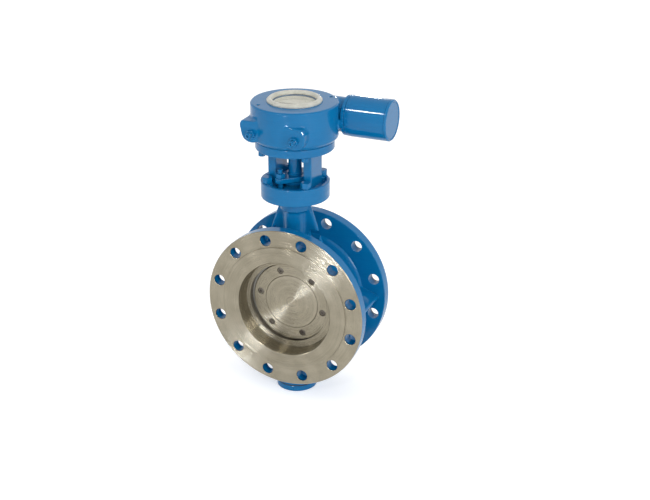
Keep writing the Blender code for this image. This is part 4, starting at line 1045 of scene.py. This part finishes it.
    def build_joint_paint(self) -> None:
        """Make the paint that runs across the joint under the yoke."""
        joint, radius = self.high.z, self.top_radius
        skin = lathe("joint_paint", [
            (radius - 0.0010, joint - 0.0045), (radius + 0.00005, joint - 0.0030, 0.003),
            (radius + 0.00014, joint, 0.004), (radius + 0.00005, joint + 0.0033, 0.003),
            (radius - 0.0010, joint + 0.0048), (radius - 0.0030, joint + 0.0048),
            (radius - 0.0030, joint - 0.0045),
        ], steps=160, closed=True)
        present(skin, "frame", "enamel", self.finishes["enamel_on_casting"])

    def build_faces(self) -> None:
        """Make the inlet's face and mouth, and the outlet's face and bore."""
        edge = self.radius - 0.0001
        mouth, rear, shoulder_y = self.mouth_radius, self.rear_bore, self.shoulder_y
        for name, face, way, bore, end, end_y, wall in (
            ("inlet_face", self.low.y, 1, mouth, self.shoulder_radius, shoulder_y, 0.004),
            ("outlet_face", self.high.y, -1, rear, rear, shoulder_y + 0.0001, 0.003),
        ):
            land = face + way * self.raised_height
            root = face + way * 0.006
            self.machined(name, [
                (edge, land + way * 0.0016), (edge - 0.0015, land, 0.0004),
                (self.raised_radius + 0.0004, land, 0.0004), (self.raised_radius, face, 0.0006),
                (bore + 0.0012, face, 0.0005), (bore, face + way * 0.0012, 0.0005),
                (end, end_y), (end + wall, end_y), (bore + wall, root), (edge - 0.001, root),
            ])


@dataclass
class SeatAndDisc:
    """The leaning seat, and the disc that closes on it."""

    finishes: Finishes
    rings: RingTree
    seal_radius: float = 0.090
    half_angle: float = radians(15)
    lean: float = radians(10)
    boss_radius: float = 0.0574
    screw_circle: float = 0.069
    screws: int = 6
    screw_start: float = radians(-10)
    pin_radius: float = 0.004
    pin_place: float = 0.045  # how far above and below the pipe's axis

    def cone(self, clearance: float) -> Piece:
        """Return the leaning cone that the seal's edge lies on."""
        low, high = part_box("disc_seal_ring")
        middle = (low.y + high.y) / 2
        radius = self.seal_radius + clearance
        wide = tan(self.half_angle + self.lean)
        narrow = tan(self.half_angle - self.lean)
        depth = 2 * radius / (wide + narrow)
        length = depth + 2 * radius
        made = lathe("cone", [(0.0, 0.0), (length * tan(self.half_angle), length), (0.0, length)],
                     steps=256)
        at = Vector((PIPE_X + radius - depth * wide, middle - depth, PIPE_Z))
        turn = Matrix.Rotation(-self.lean, 4, "Z") @ Matrix.Rotation(-pi / 2, 4, "X")
        made.data.transform(Matrix.Translation(at) @ turn)
        return made

    def build_seat(self) -> None:
        """Make the seat ring."""
        low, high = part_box("seat_ring")
        radius = (high.x - low.x) / 2
        seat = rod("seat_face", radius, low.y, high.y, Axis.Y, PIPE, 256, 0.0006)
        work(seat, Join.TAKE, self.cone(0.0005))
        present(seat, "frame", "stainless", self.finishes["turned_pipe_side"], "seat_ring")

    def build_seal(self) -> None:
        """Make the laminated seal ring."""
        low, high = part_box("disc_seal_ring")
        profile = [(0.0753, low.y), (0.102, low.y), (0.102, high.y), (0.0753, high.y)]
        seal = lathe("seal_stack", profile, Axis.Y, PIPE, 256, closed=True)
        work(seal, Join.KEEP, self.cone(0.0))
        present(seal, "rotor", "laminate", self.finishes["seal_laminate"], "disc_seal_ring")

    def build_disc(self) -> None:
        """Make the disc: its turned front and the casting behind it."""
        low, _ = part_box("disc")
        front = low.y
        plate, back = -0.0179, -0.0079
        profile = [
            (0.0, back + 0.006), (0.040, back + 0.006, 0.006), (0.074, back, 0.006),
            (0.086, back, 0.0015), (0.086, plate, 0.0005), (0.075, plate), (0.075, plate - 0.0073),
            (self.boss_radius, plate - 0.0073), (self.boss_radius, front + 0.0008, 0.0003),
            (self.boss_radius - 0.0009, front, 0.0003), (0.0025, front, 0.0002),
            (0.0, front + 0.0012),
        ]
        disc = lathe("disc_body", profile, Axis.Y, PIPE, 224)
        hub = cast("hub", [
            rod("hub_bar", 0.025, PIPE_Z - 0.070, PIPE_Z + 0.070, steps=96),
            slab("web", oblong((-0.016, PIPE_Z - 0.066), (0.024, PIPE_Z + 0.066)),
                 -0.014, 0.006, Axis.Y),
        ], 0.0014, 5)
        work(disc, Join.ADD, hub)
        relief = block("relief", (-0.04, back + 0.0062, PIPE_Z - 0.020),
                       (0.04, 0.04, PIPE_Z + 0.020))
        chamfer(relief, 0.004, 3)
        work(disc, Join.TAKE, relief, rod("stem_hole", STEM_FIT, 0.09, 0.32),
             *[rod("pin_hole", self.pin_radius + 0.0003, -0.04, 0.04, Axis.X,
                   (0, 0, PIPE_Z + side * self.pin_place), 32) for side in (-1, 1)])
        present(disc, "rotor", "stainless", self.finishes["turned_disc"], "disc")

    def build_retainer(self) -> None:
        """Make the ring that clamps the seal, with its socket screws."""
        low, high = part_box("retainer_ring")
        outer = (high.x - low.x) / 2
        inner = self.boss_radius + 0.0003
        ring = lathe("retainer", [
            (inner, high.y), (outer, high.y, 0.0004), (outer, low.y + 0.0016, 0.0003),
            (outer - 0.0016, low.y, 0.0003), (inner + 0.0006, low.y, 0.0003),
            (inner, low.y + 0.0006),
        ], Axis.Y, PIPE, 224, closed=True)
        holes = well(0.0080, 0.0066, 0.0058, 0.0043, 0.012, 48)
        self.rings.spread(holes, self.screws, self.screw_circle, -self.screw_start)
        swing(holes, Axis.Y, (PIPE_X, low.y, PIPE_Z))
        work(ring, Join.TAKE, holes)
        present(ring, "rotor", "stainless", self.finishes["turned_disc"], "retainer_ring")
        screw = lathe("retainer_screws", [
            (0.0, 0.001), (0.0062, 0.001, 0.0009), (0.0062, 0.0055), (0.0040, 0.0055),
            (0.0040, 0.0155), (0.0, 0.0155),
        ], steps=48)
        work(screw, Join.TAKE, slab("socket", ring_places(6, 0.0036), -0.002, 0.0040))
        self.rings.spread(screw, self.screws, self.screw_circle, -self.screw_start,
                          self.finishes["screw_steel"])
        swing(screw, Axis.Y, (PIPE_X, low.y, PIPE_Z))
        present(screw, "rotor", "steel", self.finishes["screw_steel"],
                *numbered("retainer_screw", *range(1, self.screws + 1)))

    def build_stem(self) -> None:
        """Make the stem and the two pins that drive the disc."""
        low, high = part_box("stem")
        _, yoke_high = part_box("yoke")
        collar = yoke_high.z - Yoke.head_thickness - 0.0003
        meet, thick, thin = 0.4620, 0.015, 0.013
        stem = rod("stem_bar", thick, low.z, meet, steps=96, edge=0.0008)
        present(stem, "rotor", "stainless", self.finishes["turned_stem"], "stem")
        neck = lathe("stem_painted_end", [
            (0.0, high.z), (thin, high.z, 0.0008), (thin, collar), (0.0165, collar, 0.0004),
            (0.0165, collar - 0.016, 0.0012), (thin, collar - 0.016, 0.0006),
            (thin, 0.4695, 0.0004), (thick, 0.4675, 0.0004), (thick, meet), (0.0, meet),
        ], steps=96)
        present(neck, "rotor", "enamel", self.finishes["enamel_on_machined"])
        reach = 0.0243
        for side, label in ((-1, "lower"), (1, "upper")):
            pin = rod(f"taper_pin_end_{label}", self.pin_radius, -reach, reach, Axis.X,
                      (0, 0, PIPE_Z + side * self.pin_place), 32, 0.0008)
            present(pin, "rotor", "steel", self.finishes["bright_steel"], f"taper_pin_{label}")

    def build(self) -> None:
        """Make every piece of the seat and the rotor's lower half."""
        self.build_seat()
        self.build_seal()
        self.build_disc()
        self.build_retainer()
        self.build_stem()


@dataclass
class Bottom:
    """The cover under the body, with its gasket and recessed screws."""

    finishes: Finishes
    rings: RingTree
    screws: int = 4
    circle: float = 0.031
    start: float = pi / 4
    bore: float = 0.0193

    def build(self) -> None:
        """Make the cover, the gasket and the screws."""
        low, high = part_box("bottom_cover")
        radius = (high.x - low.x) / 2
        cover = rod("cover_plate", radius, low.z, high.z, steps=128, edge=0.0014)
        holes = well(0.0060, 0.0053, 0.0063, 0.0033, 0.014, 40)
        self.rings.spread(holes, self.screws, self.circle, self.start)
        work(cover, Join.TAKE, holes)
        present(cover, "frame", "enamel", self.finishes["enamel_on_machined"], "bottom_cover")
        low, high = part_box("bottom_gasket")
        rim = radius - 0.0002
        gasket = lathe("gasket_ring", oblong((self.bore, low.z), (rim, high.z)), steps=128,
                       closed=True)
        drill = hole(0.0033, low.z, high.z, 32)
        self.rings.spread(drill, self.screws, self.circle, self.start)
        work(gasket, Join.TAKE, drill)
        present(gasket, "frame", "graphite", self.finishes["graphite"], "bottom_gasket")
        screw = lathe("cover_screws", [
            (0.0, 0.001), (0.005, 0.001, 0.0007), (0.005, 0.006), (0.003, 0.006),
            (0.003, 0.026), (0.0, 0.026),
        ], steps=40)
        work(screw, Join.TAKE, slab("socket", ring_places(6, 0.0029), -0.002, 0.0038))
        self.rings.spread(screw, self.screws, self.circle, self.start,
                          self.finishes["bright_steel"])
        present(screw, "frame", "steel", self.finishes["bright_steel"],
                *numbered("cover_screw", *range(1, self.screws + 1)))


@dataclass
class Gland:
    """The gland that squeezes the packing: sleeve, plate, studs and nuts."""

    finishes: Finishes
    rings: RingTree
    stud_radius: float = 0.005
    hole_radius: float = 0.0053
    stem_hole: float = 0.0155

    def build(self) -> None:
        """Make the gland's pieces."""
        low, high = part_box("gland_bush")
        sleeve = lathe("gland_sleeve", [
            (self.stem_hole, high.z), (0.0272, high.z, 0.0006), (0.0272, high.z - 0.006, 0.0006),
            (0.0239, high.z - 0.006), (0.0239, low.z), (self.stem_hole, low.z),
        ], steps=96, closed=True)
        present(sleeve, "frame", "enamel", self.finishes["enamel_on_machined"], "gland_bush")
        low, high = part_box("gland_flange")
        outline: list[Flat] = []
        spread = 0.35
        meet = pi / 2 - spread
        for side in (0, 1):
            facing = GLAND_ANGLE + side * pi
            ear = (GLAND_CIRCLE * cos(facing), GLAND_CIRCLE * sin(facing))
            outline += arc(ear, self.stud_radius + 0.0055, facing - meet, facing + meet, 16)
            flank = facing + pi / 2
            outline += arc((0, 0), 0.0252, flank - spread, flank + spread, 8)
        plate = slab("gland_plate", outline, low.z, high.z)
        chamfer(plate, 0.0012, 3, 40.0)
        drill = hole(self.hole_radius, low.z, high.z, 32)
        self.rings.spread(drill, 2, GLAND_CIRCLE, GLAND_ANGLE)
        work(plate, Join.TAKE, hole(self.stem_hole, low.z, high.z, 96), drill)
        paint = self.finishes["enamel_on_fasteners"]
        present(plate, "frame", "enamel", paint, "gland_flange")
        low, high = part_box("gland_stud_1")
        stud = threaded("gland_studs", self.stud_radius, low.z, high.z, 0.468)
        self.rings.spread(stud, 2, GLAND_CIRCLE, GLAND_ANGLE, paint)
        present(stud, "frame", "steel", paint, *numbered("gland_stud", 1, 2), angle=THREAD_CREASE)
        low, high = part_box("gland_nut_1")
        nut = hexagon("gland_nuts", 0.0098, low.z, high.z, self.hole_radius, both=True)
        self.rings.spread(nut, 2, GLAND_CIRCLE, GLAND_ANGLE, paint)
        present(nut, "frame", "enamel", paint, *numbered("gland_nut", 1, 2))


@dataclass
class Yoke:
    """The cast yoke between body and gearbox, and the bolts at both its ends."""

    finishes: Finishes
    rings: RingTree
    foot_radius: float = 0.068
    foot_height: float = 0.0167
    floor: float = 0.008
    rim: float = 0.008
    head_thickness: float = 0.0167
    bolt_circle: float = 0.057
    bolt_head: float = 0.0105
    box_circle: float = 0.070
    leg_reach: float = 0.0272

    def build_frame(self) -> None:
        """Make the casting."""
        low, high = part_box("yoke")
        radius = (high.x - low.x) / 2
        foot_z = low.z + self.foot_height
        head_z = high.z - self.head_thickness
        foot = [
            (0.0, low.z + self.floor), (self.foot_radius - self.rim, low.z + self.floor),
            (self.foot_radius - self.rim, foot_z), (self.foot_radius, foot_z),
            (self.foot_radius, low.z), (0.0, low.z),
        ]
        parts = [lathe("foot", foot, steps=128),
                 rod("head", radius - 0.0004, head_z, high.z, steps=128)]
        land = self.foot_radius - self.bolt_circle - 0.0004
        for x, y in ring_places(4, self.bolt_circle, pi / 4):
            parts.append(rod("land", land, low.z + 0.002, foot_z, centre=(x, y, 0.0)))
        for side in (-1, 1):
            inner, outer = sorted((side * 0.0292, side * 0.0458))
            parts.append(block("leg", (inner, -self.leg_reach, low.z + 0.004),
                               (outer, self.leg_reach, head_z + 0.004)))
        casting = cast("yoke_frame", parts, 0.00155, 5)
        rim, floor = self.foot_radius - self.rim + 0.0006, low.z + self.floor - 0.001
        band = lathe("band", [
            (0.030, low.z), (self.foot_radius, low.z, 0.0004), (self.foot_radius, foot_z, 0.0018),
            (rim, foot_z, 0.0018), (rim, floor), (0.030, floor),
        ], steps=160, closed=True)
        crown = lathe("crown", [
            (0.0, high.z), (radius, high.z, 0.0010), (radius, head_z, 0.0026),
            (0.030, head_z + 0.0003), (0.0, head_z + 0.0003),
        ], steps=160)
        work(casting, Join.ADD, band, crown)
        slots = rod("slot", 0.008, low.z - DRILL_PAST, foot_z + DRILL_PAST, steps=48)
        self.rings.spread(slots, 2, GLAND_CIRCLE, GLAND_ANGLE)
        work(casting, Join.TAKE, rod("stem_hole", 0.0135, head_z - 0.02, high.z + DRILL_PAST),
             rod("opening", 0.0283, low.z - DRILL_PAST, foot_z + 0.004, steps=96), slots)
        present(casting, "frame", "enamel", self.finishes["enamel_on_casting"], "yoke",
                angle=CASTING_CREASE)

    def build_bolts(self) -> None:
        """Make the bolts through the foot and those up into the gearbox."""
        low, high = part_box("yoke_bolt_1")
        top = high.z
        head = hexagon("yoke_bolts", self.bolt_head, top - 0.0115, top, washer=0.0006)
        work(head, Join.ADD, rod("shank", 0.006, low.z, top - 0.008, steps=40))
        paint = self.finishes["enamel_on_fasteners"]
        self.rings.spread(head, 4, self.bolt_circle, pi / 4, paint)
        present(head, "frame", "enamel", paint, *numbered("yoke_bolt", 1, 2, 3, 4))
        low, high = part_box("gearbox_bolt_1")
        for label, start, pair in (("a", radians(50), (1, 4)), ("b", radians(130), (2, 3))):
            bolt = hexagon(f"gearbox_bolts_{label}", 0.0074, low.z, low.z + 0.008, both=True)
            work(bolt, Join.ADD, rod("shank", 0.004, low.z + 0.004, high.z, steps=32))
            self.rings.spread(bolt, 2, self.box_circle, start, paint)
            present(bolt, "frame", "enamel", paint, *numbered("gearbox_bolt", *pair))


@dataclass
class Gearbox:
    """The gear case with its stop screws, plugs and the position dial on top."""

    finishes: Finishes
    rings: RingTree
    tunnel_radius: float = 0.034
    pad_radius: float = 0.0215
    pad_drop: float = -0.0115
    screw_drop: float = -0.0155
    tunnel_left: float = -0.052
    tunnel_right: float = 0.083
    stops: tuple[tuple[str, float, float], ...] = (
        ("closed", 0.0365, -0.084), ("open", -0.057, -0.074),
    )
    grubs: tuple[Flat, ...] = ((0.0545, 0.0500), (-0.0510, -0.0530))
    sight: float = 0.0420

    def build_case(self) -> None:
        """Make the cast case."""
        low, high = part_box("gear_housing")
        radius, z, top = 0.085, low.z, high.z
        drum = lathe("drum", [
            (0.0, top), (radius - 0.0030, top), (radius, top - 0.0030), (radius, z + 0.0075),
            (radius - 0.0075, z), (0.0, z),
        ], steps=192)
        tunnel = rod("tunnel", self.tunnel_radius, self.tunnel_left, self.tunnel_right, Axis.X,
                     WORM, 128)
        parts = [drum, tunnel]
        reach, middle = self.pad_radius, WORM_Z + self.pad_drop
        crown = middle + reach - 0.0005
        for _, x, y in self.stops:
            pad = arc((x, middle), reach, -pi * 0.97, 0.10, 30)
            pad += [
                (x + reach, middle + 0.010), (x + reach - 0.006, crown - 0.001),
                (x + reach - 0.012, crown), (x - reach + 0.001, crown),
                (x - reach - 0.003, crown - 0.008),
            ]
            parts.append(slab("pad", pad, y, y + 0.05, Axis.Y))
        parts.append(rod("plug_pad", 0.0085, 0.068, 0.0865, Axis.X, (0.0, 0.0200, z + 0.032), 48))
        case = cast("gear_case", parts, 0.0016, 4)
        edge, end = radius - 0.0001, self.tunnel_right
        top_rim = lathe("top_rim", [
            (0.060, top), (radius - 0.0026, top), (edge, top - 0.0026, 0.0008), (edge, top - 0.008),
            (0.060, top - 0.008),
        ], steps=192, closed=True)
        tunnel_rim = lathe("tunnel_rim", [
            (0.020, end), (self.tunnel_radius, end, 0.0008), (self.tunnel_radius, end - 0.005),
            (0.020, end - 0.005),
        ], Axis.X, WORM, 128, closed=True)
        work(case, Join.ADD, top_rim, tunnel_rim)
        cavity = rod("cavity", 0.064, z - DRILL_PAST, top - 0.010, steps=96)
        sight = lathe("sight", [
            (0.0, top - 0.02), (0.0425, top - 0.02), (0.0425, top - 0.0036),
            (0.0455, top - 0.0036), (0.0455, top + DRILL_PAST), (0.0, top + DRILL_PAST),
        ], steps=128)
        cutters = [cavity, sight, rod("worm_bore", 0.018, -0.07, 0.10, Axis.X, WORM, 96)]
        for _, x, y in self.stops:
            cutters.append(rod("stop_hole", 0.0053, y - DRILL_PAST, -0.01, Axis.Y,
                               (x, 0.0, WORM_Z + self.screw_drop), 32))
        for x, y in self.grubs:
            cutters.append(lathe("grub_hole", [
                (0.0, top - 0.0035), (0.0034, top - 0.0035), (0.0034, top - 0.0008),
                (0.0043, top + 0.001), (0.0, top + 0.001),
            ], centre=(x, y, 0.0), steps=32))
        work(case, Join.TAKE, *cutters)
        present(case, "frame", "enamel", self.finishes["enamel_on_casting"], "gear_housing",
                angle=CASTING_CREASE)

    def build_trim(self) -> None:
        """Make the small screws in the roof and the plug at the worm tunnel's far end."""
        _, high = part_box("gear_housing")
        grubs = []
        for x, y in self.grubs:
            grub = rod("grub", 0.0031, high.z - 0.0060, high.z - 0.0014, centre=(x, y, 0.0),
                       steps=32, edge=0.0004)
            corners = [(x + u, y + v) for u, v in ring_places(6, 0.0017)]
            socket = slab("socket", corners, high.z - 0.004, high.z)
            grubs.append(work(grub, Join.TAKE, socket))
        present(fold_in("roof_grubs", grubs), "frame", "steel", self.finishes["gear_iron"])
        low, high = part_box("tunnel_end_plug")
        plug = rod("tunnel_plug", (high.z - low.z) / 2, low.x, high.x, Axis.X, WORM, 96, 0.0008)
        long, wide = 0.010, 0.0012
        outline = oblong((WORM_Y - long, WORM_Z - wide), (WORM_Y + long, WORM_Z + wide))
        work(plug, Join.TAKE, slab("slot", outline, low.x - 0.002, low.x + 0.0018, Axis.X))
        present(plug, "frame", "enamel", self.finishes["enamel_on_fasteners"], "tunnel_end_plug")

    def build_stops(self) -> None:
        """Make the two stop screws and their locknuts."""
        paint = self.finishes["enamel_on_fasteners"]
        for label, x, _ in self.stops:
            at = (x, 0.0, WORM_Z + self.screw_drop)
            low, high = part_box(f"stop_screw_{label}")
            length = high.y - low.y
            screw = threaded(f"stop_bolt_{label}", 0.005, 0.0, length, length - 0.030)
            socket = slab("socket", ring_places(6, 0.0025), length - 0.004, length + 0.002)
            work(screw, Join.TAKE, socket)
            screw.data.transform(Matrix.Rotation(pi, 4, "X"))
            swing(screw, Axis.Y, (at[0], high.y, at[2]))
            present(screw, f"{label}_stop", "enamel", paint, f"stop_screw_{label}",
                    angle=THREAD_CREASE)
            low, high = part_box(f"stop_locknut_{label}")
            nut = hexagon(f"stop_nut_{label}", 0.0092, low.y, high.y, 0.0053, both=True)
            swing(nut, Axis.Y, at)
            present(nut, "frame", "enamel", paint, f"stop_locknut_{label}")

    def build_indicator(self) -> None:
        """Make the bezel, the window and the dial with its pointer."""
        low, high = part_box("indicator_bezel")
        outer = (high.x - low.x) / 2
        bezel = lathe("bezel_ring", [
            (self.sight, high.z - 0.0040, 0.0006), (self.sight + 0.0028, high.z - 0.0004, 0.0008),
            (outer - 0.0040, high.z, 0.0010), (outer, high.z - 0.0038, 0.0010), (outer, low.z),
            (self.sight, low.z),
        ], steps=192, closed=True)
        present(bezel, "frame", "cream", self.finishes["cream_lacquer"], "indicator_bezel")
        low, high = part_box("indicator_window")
        window_z = low.z - 0.0002
        window = rod("window_pane", (high.x - low.x) / 2, low.z, high.z, steps=128, edge=0.0003)
        present(window, "frame", "glass", self.finishes["sight_glass"], "indicator_window")
        low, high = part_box("indicator_plate")
        top = high.z - 0.0015
        dial = rod("dial_plate", (high.x - low.x) / 2, low.z, top, steps=128, edge=0.0004)
        present(dial, "rotor", "cream", self.finishes["dial_lacquer"], "indicator_plate")
        lining = lathe("dial_lining", [
            (self.sight, low.z), (self.sight + 0.0004, low.z), (self.sight + 0.0004, window_z),
            (self.sight, window_z),
        ], steps=128, closed=True)
        present(lining, "frame", "cream", self.finishes["dial_lacquer"])
        reach, neck, half, barb = 0.034, 0.020, 0.0025, 0.007
        arrow = slab("dial_pointer", [
            (reach, 0.0), (neck, barb), (neck, half), (-reach, half), (-reach, -half),
            (neck, -half), (neck, -barb),
        ], top - 0.0002, high.z)
        chamfer(arrow, 0.0003, 2)
        present(arrow, "rotor", "cream", self.finishes["pointer_tan"])


@dataclass
class InputLock:
    """The drum that hides the gearbox input, its lid, and the coupling inside."""

    finishes: Finishes

    def build(self) -> None:
        """Make the lock's pieces."""
        paint = self.finishes["enamel_on_machined"]
        low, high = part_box("lock_flange")
        radius = (high.z - low.z) / 2
        flange = lathe("lock_base", [
            (0.011, low.x), (radius, low.x, 0.0006), (radius, high.x, 0.0012), (0.011, high.x),
        ], Axis.X, WORM, 160, closed=True)
        present(flange, "frame", "enamel", paint, "lock_flange")
        low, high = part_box("lock_body")
        radius = (high.z - low.z) / 2
        bore = radius - 0.0075
        drum = lathe("lock_drum", [
            (bore, high.x, 0.0006), (radius, high.x, 0.0010), (radius, low.x + 0.006, 0.0005),
            (radius - 0.0004, low.x + 0.0055), (radius - 0.0004, low.x + 0.0010, 0.0008),
            (radius - 0.0012, low.x, 0.0006), (0.011, low.x), (0.011, low.x + 0.010),
            (bore, low.x + 0.010, 0.002),
        ], Axis.X, WORM, 192, closed=True)
        present(drum, "frame", "enamel", paint, "lock_body")
        low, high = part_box("lock_lid")
        end = high.x
        lid = lathe("lock_cover", [
            (0.0, end - 0.0010), (radius - 0.0054, end - 0.0010, 0.0004),
            (radius - 0.0050, end - 0.0018, 0.0004), (radius - 0.0044, end - 0.0002, 0.0006),
            (radius - 0.0022, end, 0.0012), (radius, end - 0.0022, 0.0014),
            (radius, end - 0.0052, 0.0004), (bore - 0.0006, end - 0.0052),
            (bore - 0.0006, low.x, 0.0006), (0.0, low.x),
        ], Axis.X, WORM, 192)
        present(lid, "lid", "enamel", paint, "lock_lid")
        low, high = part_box("input_coupling")
        sleeve = lathe("coupling_sleeve", [
            (0.0, low.x), (0.020, low.x, 0.0010), (0.020, high.x, 0.0012), (0.0, high.x),
        ], Axis.X, WORM, 96)
        half = 0.0085
        socket = block("socket", (high.x - 0.026, WORM_Y - half, WORM_Z - half),
                       (high.x + DRILL_PAST, WORM_Y + half, WORM_Z + half))
        lead = lathe("lead_in", [
            (0.0, high.x + 0.002), (0.0140, high.x + 0.002), (0.0098, high.x - 0.0018),
            (0.0, high.x - 0.0018),
        ], Axis.X, WORM, 64)
        bore = rod("bore", 0.0093, low.x - DRILL_PAST, low.x + 0.020, Axis.X, WORM, 64)
        work(sleeve, Join.TAKE, socket, lead, bore)
        present(sleeve, "worm", "steel", self.finishes["turned_coupling"], "input_coupling")


@dataclass
class InnerWorks:
    """The pieces that the casings hide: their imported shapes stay, dressed anew."""

    finishes: Finishes
    finish_of: dict[str, str] = field(default_factory=lambda: {
        "lower_bush": "bush_bronze", "upper_bush": "bush_bronze", "thrust_pad": "bush_bronze",
        "worm_bearing_near": "bush_bronze", "worm_bearing_far": "bush_bronze",
        "packing_ring_1": "graphite", "packing_ring_2": "graphite", "packing_ring_3": "graphite",
        "stem_key": "bright_steel", "worm_shaft": "bright_steel", "worm_wheel": "gear_iron",
        "stop_segment": "gear_iron",
    })

    def build(self) -> None:
        """Dress each node that stays."""
        for name, finish in self.finish_of.items():
            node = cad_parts[name]
            for slot in node.material_slots:
                slot.material = self.finishes[finish]
            log.info("%s keeps its shape, in %s", name, finish)


@dataclass
class Studio:
    """A pale floor, soft lamps and the camera."""

    target: Place = (0.0547, 0.004, 0.3072)
    azimuth: float = radians(23.3)
    elevation: float = radians(23.97)
    distance: float = 2.417
    lens: float = 67.2
    shift: Flat = (0.0050, 0.0022)
    ambient: float = 0.73  # the room's strength on matt surfaces

    def floor(self) -> None:
        """Lay the floor, which shows white but for the valve's own shadow."""
        sheet = lathe("floor", [(6.0, 0.0), (0.0, 0.0), (0.0, -0.01), (6.0, -0.01)], steps=64)
        sheet.data.transform(Matrix.Translation((0.0, 0.0, -0.0005)))
        graph = Graph("pale_floor")
        at = graph.place()
        grain = graph.noise(at, 3.0, 3.0)
        colour = graph.blend(grain, (0.80, 0.80, 0.80), (0.84, 0.84, 0.84))
        matt = graph.add("ShaderNodeBsdfDiffuse", {}, {"Color": colour})
        ray = "ShaderNodeLightPath"
        seen = graph.add(ray, output="Is Camera Ray") + graph.add(ray, output="Is Glossy Ray")
        seen = (seen + graph.add(ray, output="Is Transmission Ray")).least(1.0)
        glow = graph.add("ShaderNodeEmission", {}, {"Color": WHITE, "Strength": seen * 0.50})
        graph.add_output(graph.add("ShaderNodeAddShader", {}, {0: matt, 1: glow}))
        sheet.data.materials.append(graph.material)

    def lamp(
        self, name: str, at: Place, size: float, power: float, tint: Colour,
        sheen_only: bool = False,
    ) -> None:
        """Hang one soft lamp that faces the valve.

        Args:
            name: the lamp's name.
            at: where it hangs.
            size: its disc's diameter.
            power: its power in watts.
            tint: its colour.
            sheen_only: whether it shows in gloss alone and lights no matt surface.
        """
        light = bpy.data.lights.new(name, "AREA")
        light.shape = "DISK"
        light.size = size
        light.energy = power
        light.color = tint
        obj = bpy.data.objects.new(name, light)
        obj.location = at
        aim = Vector((0.03, 0.0, 0.33)) - Vector(at)
        obj.rotation_euler = aim.to_track_quat("-Z", "Y").to_euler()
        obj.visible_diffuse = not sheen_only
        bpy.context.scene.collection.objects.link(obj)

    def world(self) -> None:
        """Fill the room: white where it is seen, softer where it lights."""
        world = bpy.data.worlds.new("white_room")
        bpy.context.scene.world = world
        world.use_nodes = True
        tree = world.node_tree
        tree.nodes.clear()
        path, back, out = (
            tree.nodes.new(f"ShaderNode{kind}")
            for kind in ("LightPath", "Background", "OutputWorld")
        )
        total, every, level = (tree.nodes.new("ShaderNodeMath") for _ in range(3))
        total.operation = every.operation = "ADD"
        every.use_clamp = True
        level.operation = "MULTIPLY_ADD"
        level.inputs[1].default_value = 1.0 - self.ambient
        level.inputs[2].default_value = self.ambient
        back.inputs["Color"].default_value = (*WHITE, 1.0)
        join(tree, (
            (path, "Is Camera Ray", total, 0), (path, "Is Glossy Ray", total, 1),
            (total, 0, every, 0), (path, "Is Transmission Ray", every, 1),
            (every, 0, level, 0), (level, 0, back, "Strength"), (back, 0, out, "Surface"),
        ))

    def camera(self) -> None:
        """Stand the camera and make it the scene's."""
        data = bpy.data.cameras.new("camera")
        data.lens = self.lens
        data.sensor_width = 36.0
        data.clip_start = 0.05
        data.shift_x, data.shift_y = self.shift
        obj = bpy.data.objects.new("camera", data)
        flat = cos(self.elevation)
        away = Vector((sin(self.azimuth) * flat, -cos(self.azimuth) * flat, sin(self.elevation)))
        obj.location = Vector(self.target) + away * self.distance
        obj.rotation_euler = (-away).to_track_quat("-Z", "Y").to_euler()
        bpy.context.scene.collection.objects.link(obj)
        bpy.context.scene.camera = obj

    def build(self) -> None:
        """Set up the studio."""
        self.floor()
        below = (0.08, -3.2, 0.28)
        self.lamp("key", (0.9, -2.6, 2.3), 0.24, 10.0, (1.0, 0.99, 0.97))
        self.lamp("front", below, 0.40, 9.0, WHITE)
        self.lamp("glint", below, 0.30, 64.0, (0.74, 0.82, 1.0), True)
        self.lamp("high_glint", (-0.75, -1.62, 2.35), 0.12, 12.0, WHITE, True)
        self.lamp("back_glint", (-0.75, 2.4, 1.15), 0.12, 3.0, WHITE, True)
        self.lamp("right", (2.3, -1.5, 1.3), 1.0, 24.0, WHITE)
        self.lamp("left", (-2.4, -1.2, 1.3), 0.5, 5.0, (0.98, 0.99, 1.0))
        self.world()
        self.camera()
        bpy.context.scene.view_settings.view_transform = "Standard"


def main() -> None:
    """Build the valve's looks and its studio."""
    logging.basicConfig(level=logging.INFO, format="%(name)s: %(message)s")
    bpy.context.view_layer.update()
    finishes = Finishes()
    rings = RingTree()
    body = PipeBody(finishes, rings)
    body.build_casting()
    body.build_joint_paint()
    body.build_faces()
    SeatAndDisc(finishes, rings).build()
    Bottom(finishes, rings).build()
    Gland(finishes, rings).build()
    yoke = Yoke(finishes, rings)
    yoke.build_frame()
    yoke.build_bolts()
    gearbox = Gearbox(finishes, rings)
    gearbox.build_case()
    gearbox.build_trim()
    gearbox.build_stops()
    gearbox.build_indicator()
    InputLock(finishes).build()
    InnerWorks(finishes).build()
    Studio().build()


if __name__ == "__main__":
    main()
